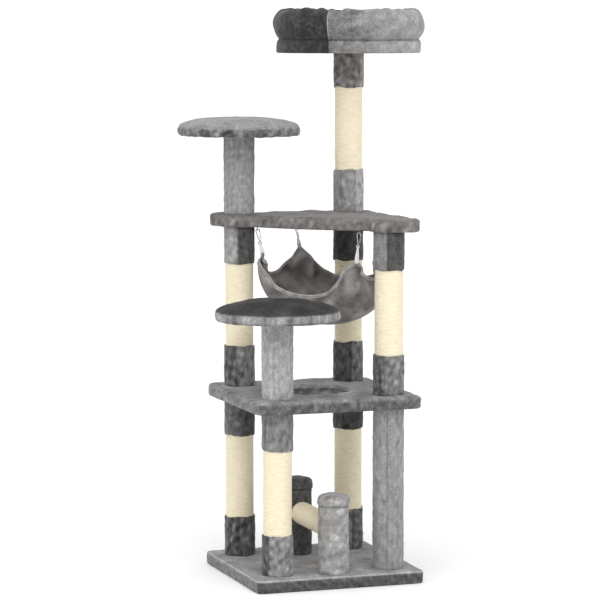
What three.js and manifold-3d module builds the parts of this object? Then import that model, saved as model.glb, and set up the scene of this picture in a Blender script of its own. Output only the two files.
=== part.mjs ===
// Tall cat tree: a square base, a middle board with a round climbing hole, a top board with one
// corner cut away, ten posts, two round perches, a round bed on the highest post, a hammock hung
// from four snap hooks, and a sisal roller between two short posts.
// Millimetres, +Z up. The origin is the centre of the base's underside; the base's front edge
// runs along X, and Y points to the back.
import * as THREE from 'three';
import { mergeVertices } from 'three/addons/utils/BufferGeometryUtils.js';
import Module from 'manifold-3d';

// ---------------------------------------------------------------- driving dimensions
const GAP = 0.3; // kept between pieces that touch
const SIDES = 16; // facets round a post
const WIDE_SIDES = 24; // facets round a perch or the bed

const BOARD_THICKNESS = 36; // finished, with its plush
const PLUSH = 3; // thickness of a board's cover
const COVER_EDGE = 2; // bevel along a cover's edges
const BASE = { width: 506, corner: 16 };
const MIDDLE = { width: 502, corner: 32, holeRadius: 104 };
const TOP = { width: 492, corner: 32, lobe: 62, bulge: 48 };
const STAGE = 471; // from the top of one board to the underside of the next
const MIDDLE_UNDER = BOARD_THICKNESS + STAGE;
const MIDDLE_TOP = MIDDLE_UNDER + BOARD_THICKNESS;
const TOP_UNDER = MIDDLE_TOP + STAGE;
const TOP_TOP = TOP_UNDER + BOARD_THICKNESS;
const BED_UNDER = TOP_TOP + STAGE;

const TUBE_RADIUS = 36;
const TUBE_WALL = 4;
const SISAL_RADIUS = 41;
const SLEEVE_RADIUS = 44;
const SISAL_LENGTH = 244;
const PLUG_DEPTH = 22; // wooden plug in each end of a tube
const STUD_RADIUS = 4;
const STUD_REACH = 24; // how far a stud goes into what it screws into
const STUD_CLEARANCE = 0.8;

const CORNERS = {
  back_left: [-171, 170],
  front_left: [-167, -170],
  back_right: [171, 170],
  front_right: [171, -170],
};
// [name, corner, underside of the post, length of its lower sleeve, length of its stud]
const THROUGH_BOARD = BOARD_THICKNESS + STUD_REACH;
const BLIND_STUD = 22;
const SISAL_POSTS = [
  ['back_left_lower', 'back_left', BOARD_THICKNESS, 117, THROUGH_BOARD],
  ['front_left_lower', 'front_left', BOARD_THICKNESS, 117, THROUGH_BOARD],
  ['back_right_lower', 'back_right', BOARD_THICKNESS, 121, THROUGH_BOARD],
  ['back_left_upper', 'back_left', MIDDLE_TOP, 118, THROUGH_BOARD],
  ['back_right_upper', 'back_right', MIDDLE_TOP, 119, THROUGH_BOARD],
  ['front_right_upper', 'front_right', MIDDLE_TOP, 115, BLIND_STUD],
  ['bed', 'back_right', TOP_TOP, 126, 14],
];
const FRONT_PERCH_UNDER = 769;
const LEFT_PERCH_UNDER = 1281;
// [name, corner, underside, top, length of its stud]
const PLUSH_POSTS = [
  ['front_right_lower_post', 'front_right', BOARD_THICKNESS, MIDDLE_UNDER, THROUGH_BOARD],
  ['front_perch_post', 'front_left', MIDDLE_TOP, FRONT_PERCH_UNDER, 14],
  ['left_perch_post', 'back_left', TOP_TOP, LEFT_PERCH_UNDER, 14],
];

const PERCH = { boardThickness: 16, boardInset: 9, rim: 28, underLip: 12 };
const FRONT_PERCH = { radius: 178, crown: 62 };
const LEFT_PERCH = { radius: 178, crown: 54 };

const BED = {
  boardRadius: 210, boardThickness: 18, bandRadius: 214, bandHeight: 36,
  bolsterRadius: 224, bolsterHeight: 95, bolsterInner: 150, cushionHeight: 42,
};

const ROLLER = {
  x: -6, backY: 128, frontY: -194, postRadius: 44.5, postHeight: 198, capRadius: 47.5,
  capHeight: 32, barRadius: 33, barZ: 164, barWall: 5, endDisc: 12, axleRadius: 5,
  axleClearance: 0.3, socketDepth: 24,
};

const BOLT = { headRadius: 9, headHeight: 4, recess: 8, reach: 28 };

// the hammock hangs from four screw eyes under the top board
const EYE = { ring: 5, wire: 1.4, shank: 14, shankRadius: 1.6 };
const HOOK = { wire: 1.5, halfWidth: 5, shoulder: -9, nose: -13, joint: -35, eyelet: 4.5 };
const HOOK_CLEARANCE = 0.8; // between a hook and the eye that it hangs on
const STRAP = {
  width: 3, thickness: 1, legSpread: 3.6, lift: 2.5, cornerRadius: 5, cornerDepth: 12,
};
// at: plan place of the eye; lean: slope of the hook and strap towards the hammock's middle;
// turn: degrees from X to the plane of the hook; strap: length from the eyelet to the cloth
const HANGERS = {
  left: { at: [-126, 136], lean: [0.186, -0.097], turn: -19, strap: 24 },
  back: { at: [16, 200], lean: [0.07, -0.35], turn: 40, strap: 19 },
  front: { at: [109, -91], lean: [-0.049, 0.107], turn: -19, strap: 41 },
  right: { at: [210, -60], lean: [-0.177, 0.114], turn: -19, strap: 24 },
};
const HAMMOCK = {
  thickness: 3, longEdgeSag: 115, shortEdgeSag: 85, middleSag: 205, bulge: 24, steps: 8,
};

// ---------------------------------------------------------------- colours and finishes
const FINISH = {
  plush: { color: 0x7b7978, roughness: 1.0, metalness: 0 },
  darkPlush: { color: 0x4c4a4a, roughness: 1.0, metalness: 0 },
  sisal: { color: 0xe6dcc0, roughness: 0.9, metalness: 0 },
  chipboard: { color: 0xb99a6d, roughness: 0.8, metalness: 0 },
  suede: { color: 0x6a6563, roughness: 0.95, metalness: 0 },
  steel: { color: 0xb9bbbd, roughness: 0.3, metalness: 1 },
};

// ---------------------------------------------------------------- solids
const wasm = await Module();
wasm.setup();
const tree = new THREE.Group();

function solidOf(geometry) {
  const bare = geometry.index ? geometry.toNonIndexed() : geometry.clone();
  bare.deleteAttribute('normal');
  bare.deleteAttribute('uv');
  const merged = mergeVertices(bare, 1e-4);
  return new wasm.Manifold(new wasm.Mesh({
    numProp: 3,
    vertProperties: new Float32Array(merged.attributes.position.array),
    triVerts: new Uint32Array(merged.index.array),
  }));
}

function geometryOf(solid) {
  const mesh = solid.getMesh();
  const geometry = new THREE.BufferGeometry();
  geometry.setAttribute('position', new THREE.BufferAttribute(mesh.vertProperties, 3));
  geometry.setIndex(new THREE.BufferAttribute(mesh.triVerts, 1));
  return geometry;
}

function addPart(name, geometry, finish, parent = tree) {
  const mesh = new THREE.Mesh(geometry, new THREE.MeshStandardMaterial(FINISH[finish]));
  mesh.name = name;
  parent.add(mesh);
  return mesh;
}

// turned shape about Z from [radius, z] pairs that run up the outside
function turned(profile, sides = SIDES) {
  const points = profile.map(([radius, z]) => new THREE.Vector2(radius, z));
  return new THREE.LatheGeometry(points, sides).rotateX(Math.PI / 2);
}

// closed turned ring: the profile comes back to where it began
function turnedRing(profile, sides = SIDES) {
  return turned([...profile, profile[0]], sides);
}

function cylinder(radius, bottom, top, [x, y] = [0, 0], sides = SIDES) {
  const shape = new THREE.CylinderGeometry(radius, radius, top - bottom, sides);
  return shape.rotateX(Math.PI / 2).translate(x, y, (top + bottom) / 2);
}

function slab(shape, bottom, top, edge = 0) {
  const geometry = new THREE.ExtrudeGeometry(shape, {
    depth: top - bottom - 2 * edge,
    bevelEnabled: edge > 0,
    bevelThickness: edge,
    bevelSize: edge,
    bevelOffset: -edge,
    bevelSegments: 1,
    curveSegments: 3,
  });
  return geometry.translate(0, 0, bottom + edge);
}

function wire(points, radius, closed = false, sides = 6) {
  const section = new THREE.Shape();
  section.absarc(0, 0, radius, 0, 2 * Math.PI);
  const path = new THREE.CatmullRomCurve3(points, closed, 'centripetal');
  return new THREE.ExtrudeGeometry(section, {
    steps: Math.round(1.5 * points.length),
    curveSegments: sides / 2,
    extrudePath: path,
    bevelEnabled: false,
  });
}

// ---------------------------------------------------------------- boards
function squareOutline(width, corner) {
  const half = width / 2;
  const inner = half - corner;
  const outline = new THREE.Shape();
  outline.absarc(inner, inner, corner, 0, Math.PI / 2);
  outline.absarc(-inner, inner, corner, Math.PI / 2, Math.PI);
  outline.absarc(-inner, -inner, corner, Math.PI, 1.5 * Math.PI);
  outline.absarc(inner, -inner, corner, 1.5 * Math.PI, 2 * Math.PI);
  outline.closePath();
  return outline;
}

// three corners of a square, round lobes over two posts, and a bowed front edge between the lobes
function cutCornerOutline(width, corner, lobe, bulge) {
  const half = width / 2;
  const inner = half - corner;
  const [leftX, leftY] = CORNERS.back_left;
  const [rightX, rightY] = CORNERS.front_right;
  const outline = new THREE.Shape();
  outline.absarc(inner, inner, corner, 0, Math.PI / 2);
  outline.absarc(-inner, inner, corner, Math.PI / 2, Math.PI);
  outline.lineTo(-half, leftY);
  outline.absarc(leftX, leftY, lobe, Math.PI, 1.62 * Math.PI);
  outline.quadraticCurveTo(-bulge * 1.1, -bulge * 1.1, rightX - lobe * 0.93, rightY + lobe * 0.37);
  outline.absarc(rightX, rightY, lobe, 0.88 * Math.PI, 1.5 * Math.PI);
  outline.lineTo(inner, -half);
  outline.absarc(inner, -inner, corner, 1.5 * Math.PI, 2 * Math.PI);
  outline.closePath();
  return outline;
}

function roundHole(radius, [x, y] = [0, 0]) {
  const hole = new THREE.Path();
  for (let quarter = 4; quarter > 0; quarter -= 1) {
    hole.absarc(x, y, radius, (quarter * Math.PI) / 2, ((quarter - 1) * Math.PI) / 2, true);
  }
  return hole;
}

function board(name, outlineOf, bottom, holes, climbingHole) {
  const top = bottom + BOARD_THICKNESS;
  const core = outlineOf(PLUSH + GAP);
  const skin = outlineOf(0);
  const pocket = outlineOf(PLUSH);
  if (climbingHole) {
    core.holes.push(roundHole(climbingHole + PLUSH + GAP));
    skin.holes.push(roundHole(climbingHole));
    pocket.holes.push(roundHole(climbingHole + PLUSH));
  }
  const drill = (radius, from, to) => holes.map((at) => solidOf(cylinder(radius, from, to, at, 8)));
  let coreSolid = solidOf(slab(core, bottom, top - PLUSH - GAP));
  let skinSolid = solidOf(slab(skin, bottom, top, COVER_EDGE));
  skinSolid = skinSolid.subtract(solidOf(slab(pocket, bottom - 1, top - PLUSH)));
  for (const hole of drill(STUD_RADIUS + STUD_CLEARANCE, bottom - 1, top + 1)) {
    coreSolid = coreSolid.subtract(hole);
    skinSolid = skinSolid.subtract(hole);
  }
  if (bottom === 0) {
    for (const recess of drill(BOLT.headRadius + 1, -1, BOLT.recess)) {
      coreSolid = coreSolid.subtract(recess);
    }
  }
  if (bottom === TOP_UNDER) {
    for (const hanger of Object.values(HANGERS)) {
      const screwHole = cylinder(EYE.shankRadius + GAP, bottom - 1, bottom + EYE.shank + 1, hanger.at, 8);
      coreSolid = coreSolid.subtract(solidOf(screwHole));
    }
  }
  addPart(`${name}_board`, geometryOf(coreSolid), 'chipboard');
  addPart(`${name}_cover`, geometryOf(skinSolid), 'plush');
}

const rollerFeet = [[ROLLER.x, ROLLER.frontY], [ROLLER.x, ROLLER.backY]];
const basePosts = [...Object.values(CORNERS), ...rollerFeet];
const baseOutline = (inset) => squareOutline(BASE.width - 2 * inset, BASE.corner - inset);
const middleOutline = (inset) => squareOutline(MIDDLE.width - 2 * inset, MIDDLE.corner - inset);
const topOutline = (inset) => cutCornerOutline(
  TOP.width - 2 * inset, TOP.corner - inset, TOP.lobe - inset, TOP.bulge - inset,
);
board('base', baseOutline, 0, basePosts, 0);
board('middle', middleOutline, MIDDLE_UNDER, Object.values(CORNERS), MIDDLE.holeRadius);
const topHoles = [CORNERS.back_left, CORNERS.back_right, CORNERS.front_right];
board('top', topOutline, TOP_UNDER, topHoles, 0);

// ---------------------------------------------------------------- posts
// a tube with a plug in each end: the lower plug is drilled through, the upper one holds a stud
function postProfile(length, stud, outside) {
  const inside = TUBE_RADIUS - TUBE_WALL;
  const drilled = STUD_RADIUS + STUD_CLEARANCE;
  return [
    [0, length - PLUG_DEPTH],
    [inside, length - PLUG_DEPTH],
    [inside, PLUG_DEPTH + STUD_REACH / 2],
    [drilled, PLUG_DEPTH + STUD_REACH / 2],
    [drilled, GAP],
    ...outside,
    [STUD_RADIUS, length - GAP],
    [STUD_RADIUS, length + stud],
    [0, length + stud],
  ];
}

function sisalPost(name, [x, y], bottom, lowerSleeve, stud) {
  const sisalTop = lowerSleeve + SISAL_LENGTH;
  const outside = [
    [TUBE_RADIUS, GAP],
    [TUBE_RADIUS, lowerSleeve],
    [SISAL_RADIUS, lowerSleeve],
    [SISAL_RADIUS, sisalTop],
    [TUBE_RADIUS, sisalTop],
    [TUBE_RADIUS, STAGE - GAP],
  ];
  const sleeve = (from, to) => turnedRing([
    [TUBE_RADIUS + GAP, from], [SLEEVE_RADIUS, from], [SLEEVE_RADIUS, to], [TUBE_RADIUS + GAP, to],
  ]);
  const post = new THREE.Group();
  post.position.set(x, y, bottom);
  addPart(`${name}_sisal_post`, turned(postProfile(STAGE, stud, outside)), 'sisal', post);
  addPart(`${name}_foot_sleeve`, sleeve(GAP, lowerSleeve - GAP), 'darkPlush', post);
  addPart(`${name}_head_sleeve`, sleeve(sisalTop + GAP, STAGE - GAP), 'darkPlush', post);
  tree.add(post);
}

function plushPost(name, [x, y], bottom, top, stud) {
  const length = top - bottom;
  const outside = [[SLEEVE_RADIUS, GAP], [SLEEVE_RADIUS, length - GAP]];
  const post = addPart(name, turned(postProfile(length, stud, outside)), 'plush');
  post.position.set(x, y, bottom);
}

for (const [name, corner, bottom, lowerSleeve, stud] of SISAL_POSTS) {
  sisalPost(name, CORNERS[corner], bottom, lowerSleeve, stud);
}
for (const [name, corner, bottom, top, stud] of PLUSH_POSTS) {
  plushPost(name, CORNERS[corner], bottom, top, stud);
}

// ---------------------------------------------------------------- round perches
function perch(name, [x, y], bottom, { radius, crown }) {
  const { boardThickness, boardInset, rim, underLip } = PERCH;
  const boardRadius = radius - boardInset;
  const drilled = STUD_RADIUS + STUD_CLEARANCE;
  const boardShape = turnedRing([
    [drilled, 0], [boardRadius, 0], [boardRadius, boardThickness], [drilled, boardThickness],
  ], WIDE_SIDES);
  const pocketTop = boardThickness + GAP;
  const dome = (share) => [radius * share, rim + (crown - rim) * Math.sqrt(1 - share * share)];
  const coverShape = turned([
    [0, pocketTop],
    [boardRadius + GAP, pocketTop],
    [boardRadius + GAP, 0],
    [radius - underLip * 0.3, 0],
    [radius, underLip],
    [radius, rim - 10],
    dome(0.97), dome(0.85), dome(0.6), dome(0.3),
    [0, crown],
  ], WIDE_SIDES);
  const group = new THREE.Group();
  group.position.set(x, y, bottom);
  addPart(`${name}_board`, boardShape, 'chipboard', group);
  addPart(`${name}_cover`, coverShape, 'plush', group);
  tree.add(group);
}
perch('front_perch', CORNERS.front_left, FRONT_PERCH_UNDER, FRONT_PERCH);
perch('left_perch', CORNERS.back_left, LEFT_PERCH_UNDER, LEFT_PERCH);

// ---------------------------------------------------------------- round bed
function bed([x, y], bottom) {
  const drilled = STUD_RADIUS + STUD_CLEARANCE;
  const boardTop = BED.boardThickness;
  const middleRadius = (BED.bolsterRadius + BED.bolsterInner) / 2;
  const halfWidth = (BED.bolsterRadius - BED.bolsterInner) / 2;
  const middleZ = BED.bandHeight + BED.bolsterHeight / 2;
  const bolsterArc = [];
  const arcSteps = 8;
  for (let step = 0; step <= arcSteps; step += 1) {
    const angle = -0.42 * Math.PI + (1.42 * Math.PI * step) / arcSteps;
    bolsterArc.push([
      middleRadius + halfWidth * Math.cos(angle),
      middleZ + (BED.bolsterHeight / 2) * Math.sin(angle),
    ]);
  }
  const group = new THREE.Group();
  group.position.set(x, y, bottom);
  addPart('bed_board', turnedRing([
    [drilled, GAP], [BED.boardRadius, GAP], [BED.boardRadius, boardTop], [drilled, boardTop],
  ], WIDE_SIDES), 'chipboard', group);
  addPart('bed_cover', turnedRing([
    [BED.boardRadius + GAP, 0],
    [BED.bandRadius, 0],
    [BED.bandRadius, BED.bandHeight],
    ...bolsterArc,
    [BED.bolsterInner, boardTop + GAP],
    [BED.boardRadius + GAP, boardTop + GAP],
  ], WIDE_SIDES), 'plush', group);
  const cushionRadius = BED.bolsterInner - 2;
  const cushionTop = boardTop + BED.cushionHeight;
  addPart('bed_cushion', turned([
    [0, boardTop + GAP],
    [cushionRadius * 0.96, boardTop + GAP],
    [cushionRadius, boardTop + 8],
    [cushionRadius * 0.97, cushionTop - 16],
    [cushionRadius * 0.8, cushionTop - 4],
    [0, cushionTop],
  ], WIDE_SIDES), 'plush', group);
  tree.add(group);
}
bed(CORNERS.back_right, BED_UNDER);

// ---------------------------------------------------------------- sisal roller
function rollerPost(name, y, side) {
  const bodyTop = BOARD_THICKNESS + ROLLER.postHeight;
  const capTop = bodyTop + ROLLER.capHeight;
  const drilled = STUD_RADIUS + STUD_CLEARANCE;
  const shape = turned([
    [0, BOARD_THICKNESS + PLUG_DEPTH + STUD_REACH / 2],
    [drilled, BOARD_THICKNESS + PLUG_DEPTH + STUD_REACH / 2],
    [drilled, BOARD_THICKNESS + GAP],
    [ROLLER.postRadius, BOARD_THICKNESS + GAP],
    [ROLLER.postRadius, bodyTop],
    [ROLLER.capRadius, bodyTop + 2],
    [ROLLER.capRadius, capTop - 16],
    [ROLLER.capRadius * 0.88, capTop - 6],
    [ROLLER.capRadius * 0.55, capTop - 1],
    [0, capTop],
  ]).translate(ROLLER.x, y, 0);
  const socketEnd = ROLLER.postRadius + 2;
  const socket = cylinder(ROLLER.axleRadius + GAP, -ROLLER.socketDepth, 4, [0, 0], 12)
    .rotateX((-side * Math.PI) / 2)
    .translate(ROLLER.x, y + side * socketEnd, ROLLER.barZ);
  addPart(name, geometryOf(solidOf(shape).subtract(solidOf(socket))), 'plush');
}
rollerPost('roller_front_post', ROLLER.frontY, 1);
rollerPost('roller_back_post', ROLLER.backY, -1);

const barFront = ROLLER.frontY + ROLLER.postRadius + 2;
const barBack = ROLLER.backY - ROLLER.postRadius - 2;
function rollerBar() {
  const length = barBack - barFront;
  const { barRadius, barWall, endDisc, axleRadius, axleClearance } = ROLLER;
  const bore = axleRadius + axleClearance;
  return turnedRing([
    [bore, 0],
    [barRadius, 0],
    [barRadius, length],
    [bore, length],
    [bore, length - endDisc],
    [barRadius - barWall, length - endDisc],
    [barRadius - barWall, endDisc],
    [bore, endDisc],
  ], WIDE_SIDES);
}
const bar = addPart('roller_bar', rollerBar(), 'sisal');
bar.rotation.x = -Math.PI / 2;
bar.position.set(ROLLER.x, barFront, ROLLER.barZ);
const axleReach = ROLLER.socketDepth - 4;
const axle = addPart('roller_axle', cylinder(
  ROLLER.axleRadius, -axleReach, barBack - barFront + axleReach, [0, 0], 12,
), 'steel');
axle.rotation.x = -Math.PI / 2;
axle.position.set(ROLLER.x, barFront, ROLLER.barZ);

// ---------------------------------------------------------------- bolts under the base
const BOLT_NAMES = [...Object.keys(CORNERS), 'roller_front', 'roller_back'];
basePosts.forEach((at, index) => {
  const headTop = BOLT.recess - GAP;
  const head = solidOf(cylinder(BOLT.headRadius, headTop - BOLT.headHeight, headTop, at, 8));
  const shank = cylinder(STUD_RADIUS * 0.95, headTop - 1, BOARD_THICKNESS + BOLT.reach, at, 6);
  addPart(`${BOLT_NAMES[index]}_base_bolt`, geometryOf(head.add(solidOf(shank))), 'steel');
});

// ---------------------------------------------------------------- hammock and its hangers
const eyeRingZ = TOP_UNDER - GAP - EYE.ring - EYE.wire;
const hookTopZ = eyeRingZ - EYE.ring + EYE.wire + HOOK.wire + HOOK_CLEARANCE;
const hookLength = -(HOOK.joint - HOOK.eyelet - 2);
const strapBend = -(hookLength + HOOK.eyelet - HOOK.wire - STRAP.thickness / 2 - STRAP.lift);
const point = (x, y, z) => new THREE.Vector3(x, y, z);

// frame of a hanger: its origin is where the hook bears on the eye, its -Z runs down the hook
function hangerFrame({ at, lean, turn }) {
  const up = point(-lean[0], -lean[1], 1).normalize();
  const turnRad = THREE.MathUtils.degToRad(turn);
  const across = point(Math.cos(turnRad), Math.sin(turnRad), 0);
  const side = new THREE.Vector3().crossVectors(up, across).normalize();
  across.crossVectors(side, up);
  const frame = new THREE.Matrix4().makeBasis(across, side, up);
  return frame.setPosition(at[0], at[1], hookTopZ);
}

function screwEye({ at, turn }) {
  const ring = new THREE.TorusGeometry(EYE.ring, EYE.wire, 5, 12);
  const turnRad = THREE.MathUtils.degToRad(turn);
  ring.rotateY(Math.PI / 2).rotateZ(turnRad).translate(at[0], at[1], eyeRingZ);
  const shankBottom = eyeRingZ + EYE.ring;
  const shank = cylinder(EYE.shankRadius, shankBottom, TOP_UNDER + EYE.shank, at, 8);
  return geometryOf(solidOf(ring).add(solidOf(shank)));
}

function hookBody() {
  const { wire: radius, halfWidth, shoulder, nose, joint, eyelet } = HOOK;
  const arcDrop = halfWidth * 0.3;
  const bow = wire([
    point(0, 0, joint),
    point(-halfWidth * 0.45, 0, joint * 0.72),
    point(-halfWidth, 0, shoulder),
    point(-halfWidth * 0.85, 0, -arcDrop * 1.6),
    point(0, 0, 0),
    point(halfWidth * 0.85, 0, -arcDrop * 1.6),
    point(halfWidth, 0, shoulder),
    point(halfWidth * 0.98, 0, nose),
  ], radius);
  const ring = new THREE.TorusGeometry(eyelet, radius, 5, 12).rotateX(Math.PI / 2);
  ring.translate(0, 0, -hookLength);
  const neck = cylinder(radius * 0.95, -hookLength + eyelet - radius * 0.6, joint + 1, [0, 0], 8);
  return geometryOf(solidOf(bow).add(solidOf(ring)).add(solidOf(neck)));
}

// a straight spring gate between the hook's nose and the side of its neck
function hookGate() {
  const { wire: radius, halfWidth, nose, joint } = HOOK;
  const top = point(halfWidth * 0.97, 0, nose - 2.4);
  const foot = point(halfWidth * 0.3 + radius + 1.2, 0, joint + 2.5);
  return wire([foot, top.clone().lerp(foot, 0.5), top], radius * 0.8);
}

// plan position and drop of the hanging cloth: u runs along its long edges, v along its short ones
function clothPoint(corners, u, v) {
  const near = corners.left.clone().lerp(corners.front, (u + 1) / 2);
  const far = corners.back.clone().lerp(corners.right, (u + 1) / 2);
  const at = near.lerp(far, (v + 1) / 2);
  const long = corners.front.clone().sub(corners.left).setZ(0).normalize();
  const slackLong = 1 - u * u;
  const slackShort = 1 - v * v;
  const middle = HAMMOCK.middleSag - HAMMOCK.longEdgeSag - HAMMOCK.shortEdgeSag;
  at.z -= HAMMOCK.longEdgeSag * slackLong + HAMMOCK.shortEdgeSag * slackShort;
  at.z -= middle * slackLong * slackShort;
  return at.addScaledVector(long, HAMMOCK.bulge * u * slackShort);
}

// closed thin shell between the cloth's upper and lower faces
function clothShell(corners) {
  const { steps, thickness } = HAMMOCK;
  const row = steps + 1;
  const positions = [];
  for (const drop of [0, thickness]) {
    for (let i = 0; i <= steps; i += 1) {
      for (let j = 0; j <= steps; j += 1) {
        const at = clothPoint(corners, (2 * i) / steps - 1, (2 * j) / steps - 1);
        positions.push(at.x, at.y, at.z - drop);
      }
    }
  }
  const lower = row * row;
  const faces = [];
  const quad = (a, b, c, d) => faces.push(a, b, c, a, c, d);
  for (let i = 0; i < steps; i += 1) {
    for (let j = 0; j < steps; j += 1) {
      const a = i * row + j;
      quad(a, a + row, a + row + 1, a + 1);
      quad(lower + a, lower + a + 1, lower + a + row + 1, lower + a + row);
    }
  }
  const last = steps * row;
  for (let k = 0; k < steps; k += 1) {
    quad(k, k + 1, lower + k + 1, lower + k);
    quad(last + k + 1, last + k, lower + last + k, lower + last + k + 1);
    quad((k + 1) * row, k * row, lower + k * row, lower + (k + 1) * row);
    const edge = k * row + steps;
    quad(edge, edge + row, lower + edge + row, lower + edge);
  }
  const shell = new THREE.BufferGeometry();
  shell.setAttribute('position', new THREE.Float32BufferAttribute(positions, 3));
  shell.setIndex(faces);
  return shell;
}

// webbing that runs up from a corner of the cloth, through the hook's eyelet and back
function strapLoop(length) {
  const section = new THREE.Shape();
  const halfWidth = STRAP.width / 2;
  const halfThickness = STRAP.thickness / 2;
  section.moveTo(-halfWidth, -halfThickness);
  section.lineTo(halfWidth, -halfThickness);
  section.lineTo(halfWidth, halfThickness);
  section.lineTo(-halfWidth, halfThickness);
  section.closePath();
  const spread = STRAP.legSpread;
  const foot = strapBend - length - 4;
  const path = new THREE.CatmullRomCurve3([
    point(0, -spread * 0.4, foot),
    point(0, -spread, strapBend - length * 0.6),
    point(0, -spread, strapBend - 4),
    point(0, -spread * 0.7, strapBend - 1),
    point(0, 0, strapBend),
    point(0, spread * 0.7, strapBend - 1),
    point(0, spread, strapBend - 4),
    point(0, spread, strapBend - length * 0.6),
    point(0, spread * 0.4, foot),
  ], false, 'centripetal');
  return new THREE.ExtrudeGeometry(section, {
    steps: 12, curveSegments: 1, extrudePath: path, bevelEnabled: false,
  });
}

const clothCorners = {};
for (const [side, hanger] of Object.entries(HANGERS)) {
  const frame = hangerFrame(hanger);
  clothCorners[side] = point(0, 0, strapBend - hanger.strap).applyMatrix4(frame);
  addPart(`${side}_screw_eye`, screwEye(hanger), 'steel');
  addPart(`${side}_snap_hook`, hookBody().applyMatrix4(frame), 'steel');
  addPart(`${side}_hook_gate`, hookGate().applyMatrix4(frame), 'steel');
}
let hammockSolid = solidOf(clothShell(clothCorners));
for (const hanger of Object.values(HANGERS)) {
  const frame = hangerFrame(hanger);
  const tip = strapBend - hanger.strap;
  const foldedCorner = cylinder(STRAP.cornerRadius, tip - STRAP.cornerDepth, tip + 2, [0, 0], 10);
  hammockSolid = hammockSolid.add(solidOf(strapLoop(hanger.strap).applyMatrix4(frame)));
  hammockSolid = hammockSolid.add(solidOf(foldedCorner.applyMatrix4(frame)));
}
addPart('hammock', geometryOf(hammockSolid), 'suede');

export default tree;
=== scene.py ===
import math

import bmesh
import bpy
import numpy as np
from mathutils import Matrix, Vector
from mathutils.geometry import delaunay_2d_cdt


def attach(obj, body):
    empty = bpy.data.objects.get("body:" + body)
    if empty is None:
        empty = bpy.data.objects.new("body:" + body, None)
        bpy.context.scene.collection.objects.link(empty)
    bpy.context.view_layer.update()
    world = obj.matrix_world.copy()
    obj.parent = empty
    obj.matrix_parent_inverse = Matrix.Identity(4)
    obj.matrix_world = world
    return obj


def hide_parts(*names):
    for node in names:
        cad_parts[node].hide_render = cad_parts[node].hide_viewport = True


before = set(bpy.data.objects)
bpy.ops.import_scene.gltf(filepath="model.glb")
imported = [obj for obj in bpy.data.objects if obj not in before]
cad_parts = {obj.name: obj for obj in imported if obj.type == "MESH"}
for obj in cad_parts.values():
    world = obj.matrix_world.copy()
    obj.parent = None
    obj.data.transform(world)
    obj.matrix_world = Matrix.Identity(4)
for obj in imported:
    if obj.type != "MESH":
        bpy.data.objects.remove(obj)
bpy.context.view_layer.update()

SCENE = bpy.context.scene
MM = 0.001
TAU = 2 * math.pi

# ---------------- camera and light
CAMERA_AT = (-2.66617, -7.59989, 1.58760)
CAMERA_YAW = 19.06  # degrees from +Y towards +X
CAMERA_DIP = 5.55  # degrees below the horizon
CAMERA_LENS = 166.64

camera_data = bpy.data.cameras.new("camera")
camera_data.sensor_width = 36
camera_data.lens = CAMERA_LENS
camera = bpy.data.objects.new("camera", camera_data)
camera.location = CAMERA_AT
camera.rotation_euler = (math.radians(90 - CAMERA_DIP), 0, math.radians(-CAMERA_YAW))
SCENE.collection.objects.link(camera)
SCENE.camera = camera
SCENE.view_settings.view_transform = "Standard"

# plan direction from the tree to the side it is seen from; seams are given from it, right being +
FRONT = math.radians(-110.0)

KEY_AT, KEY_AIM = Vector((-0.6, -4.6, 3.6)), Vector((0, 0, 0.8))


def lamp(name, kind, power, turn):
    data = bpy.data.lights.new(name, kind)
    data.energy = power
    made = bpy.data.objects.new(name, data)
    made.rotation_euler = turn
    SCENE.collection.objects.link(made)
    return made


key = lamp("key", "AREA", 54, (KEY_AIM - KEY_AT).to_track_quat("-Z", "Y").to_euler())
key.location = KEY_AT
key.data.shape = "DISK"
key.data.size = 2.6
sun = lamp("sun", "SUN", 1.15, (math.radians(32), 0, math.radians(-30)))
sun.data.angle = math.radians(70)


# ---------------- node helpers
def srgb(red, green, blue):
    linear = [((c / 255 + 0.055) / 1.055) ** 2.4 for c in (red, green, blue)]
    return (*linear, 1.0)


def set_inputs(node, values):
    for socket, value in values.items():
        node.inputs[socket].default_value = value


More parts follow.
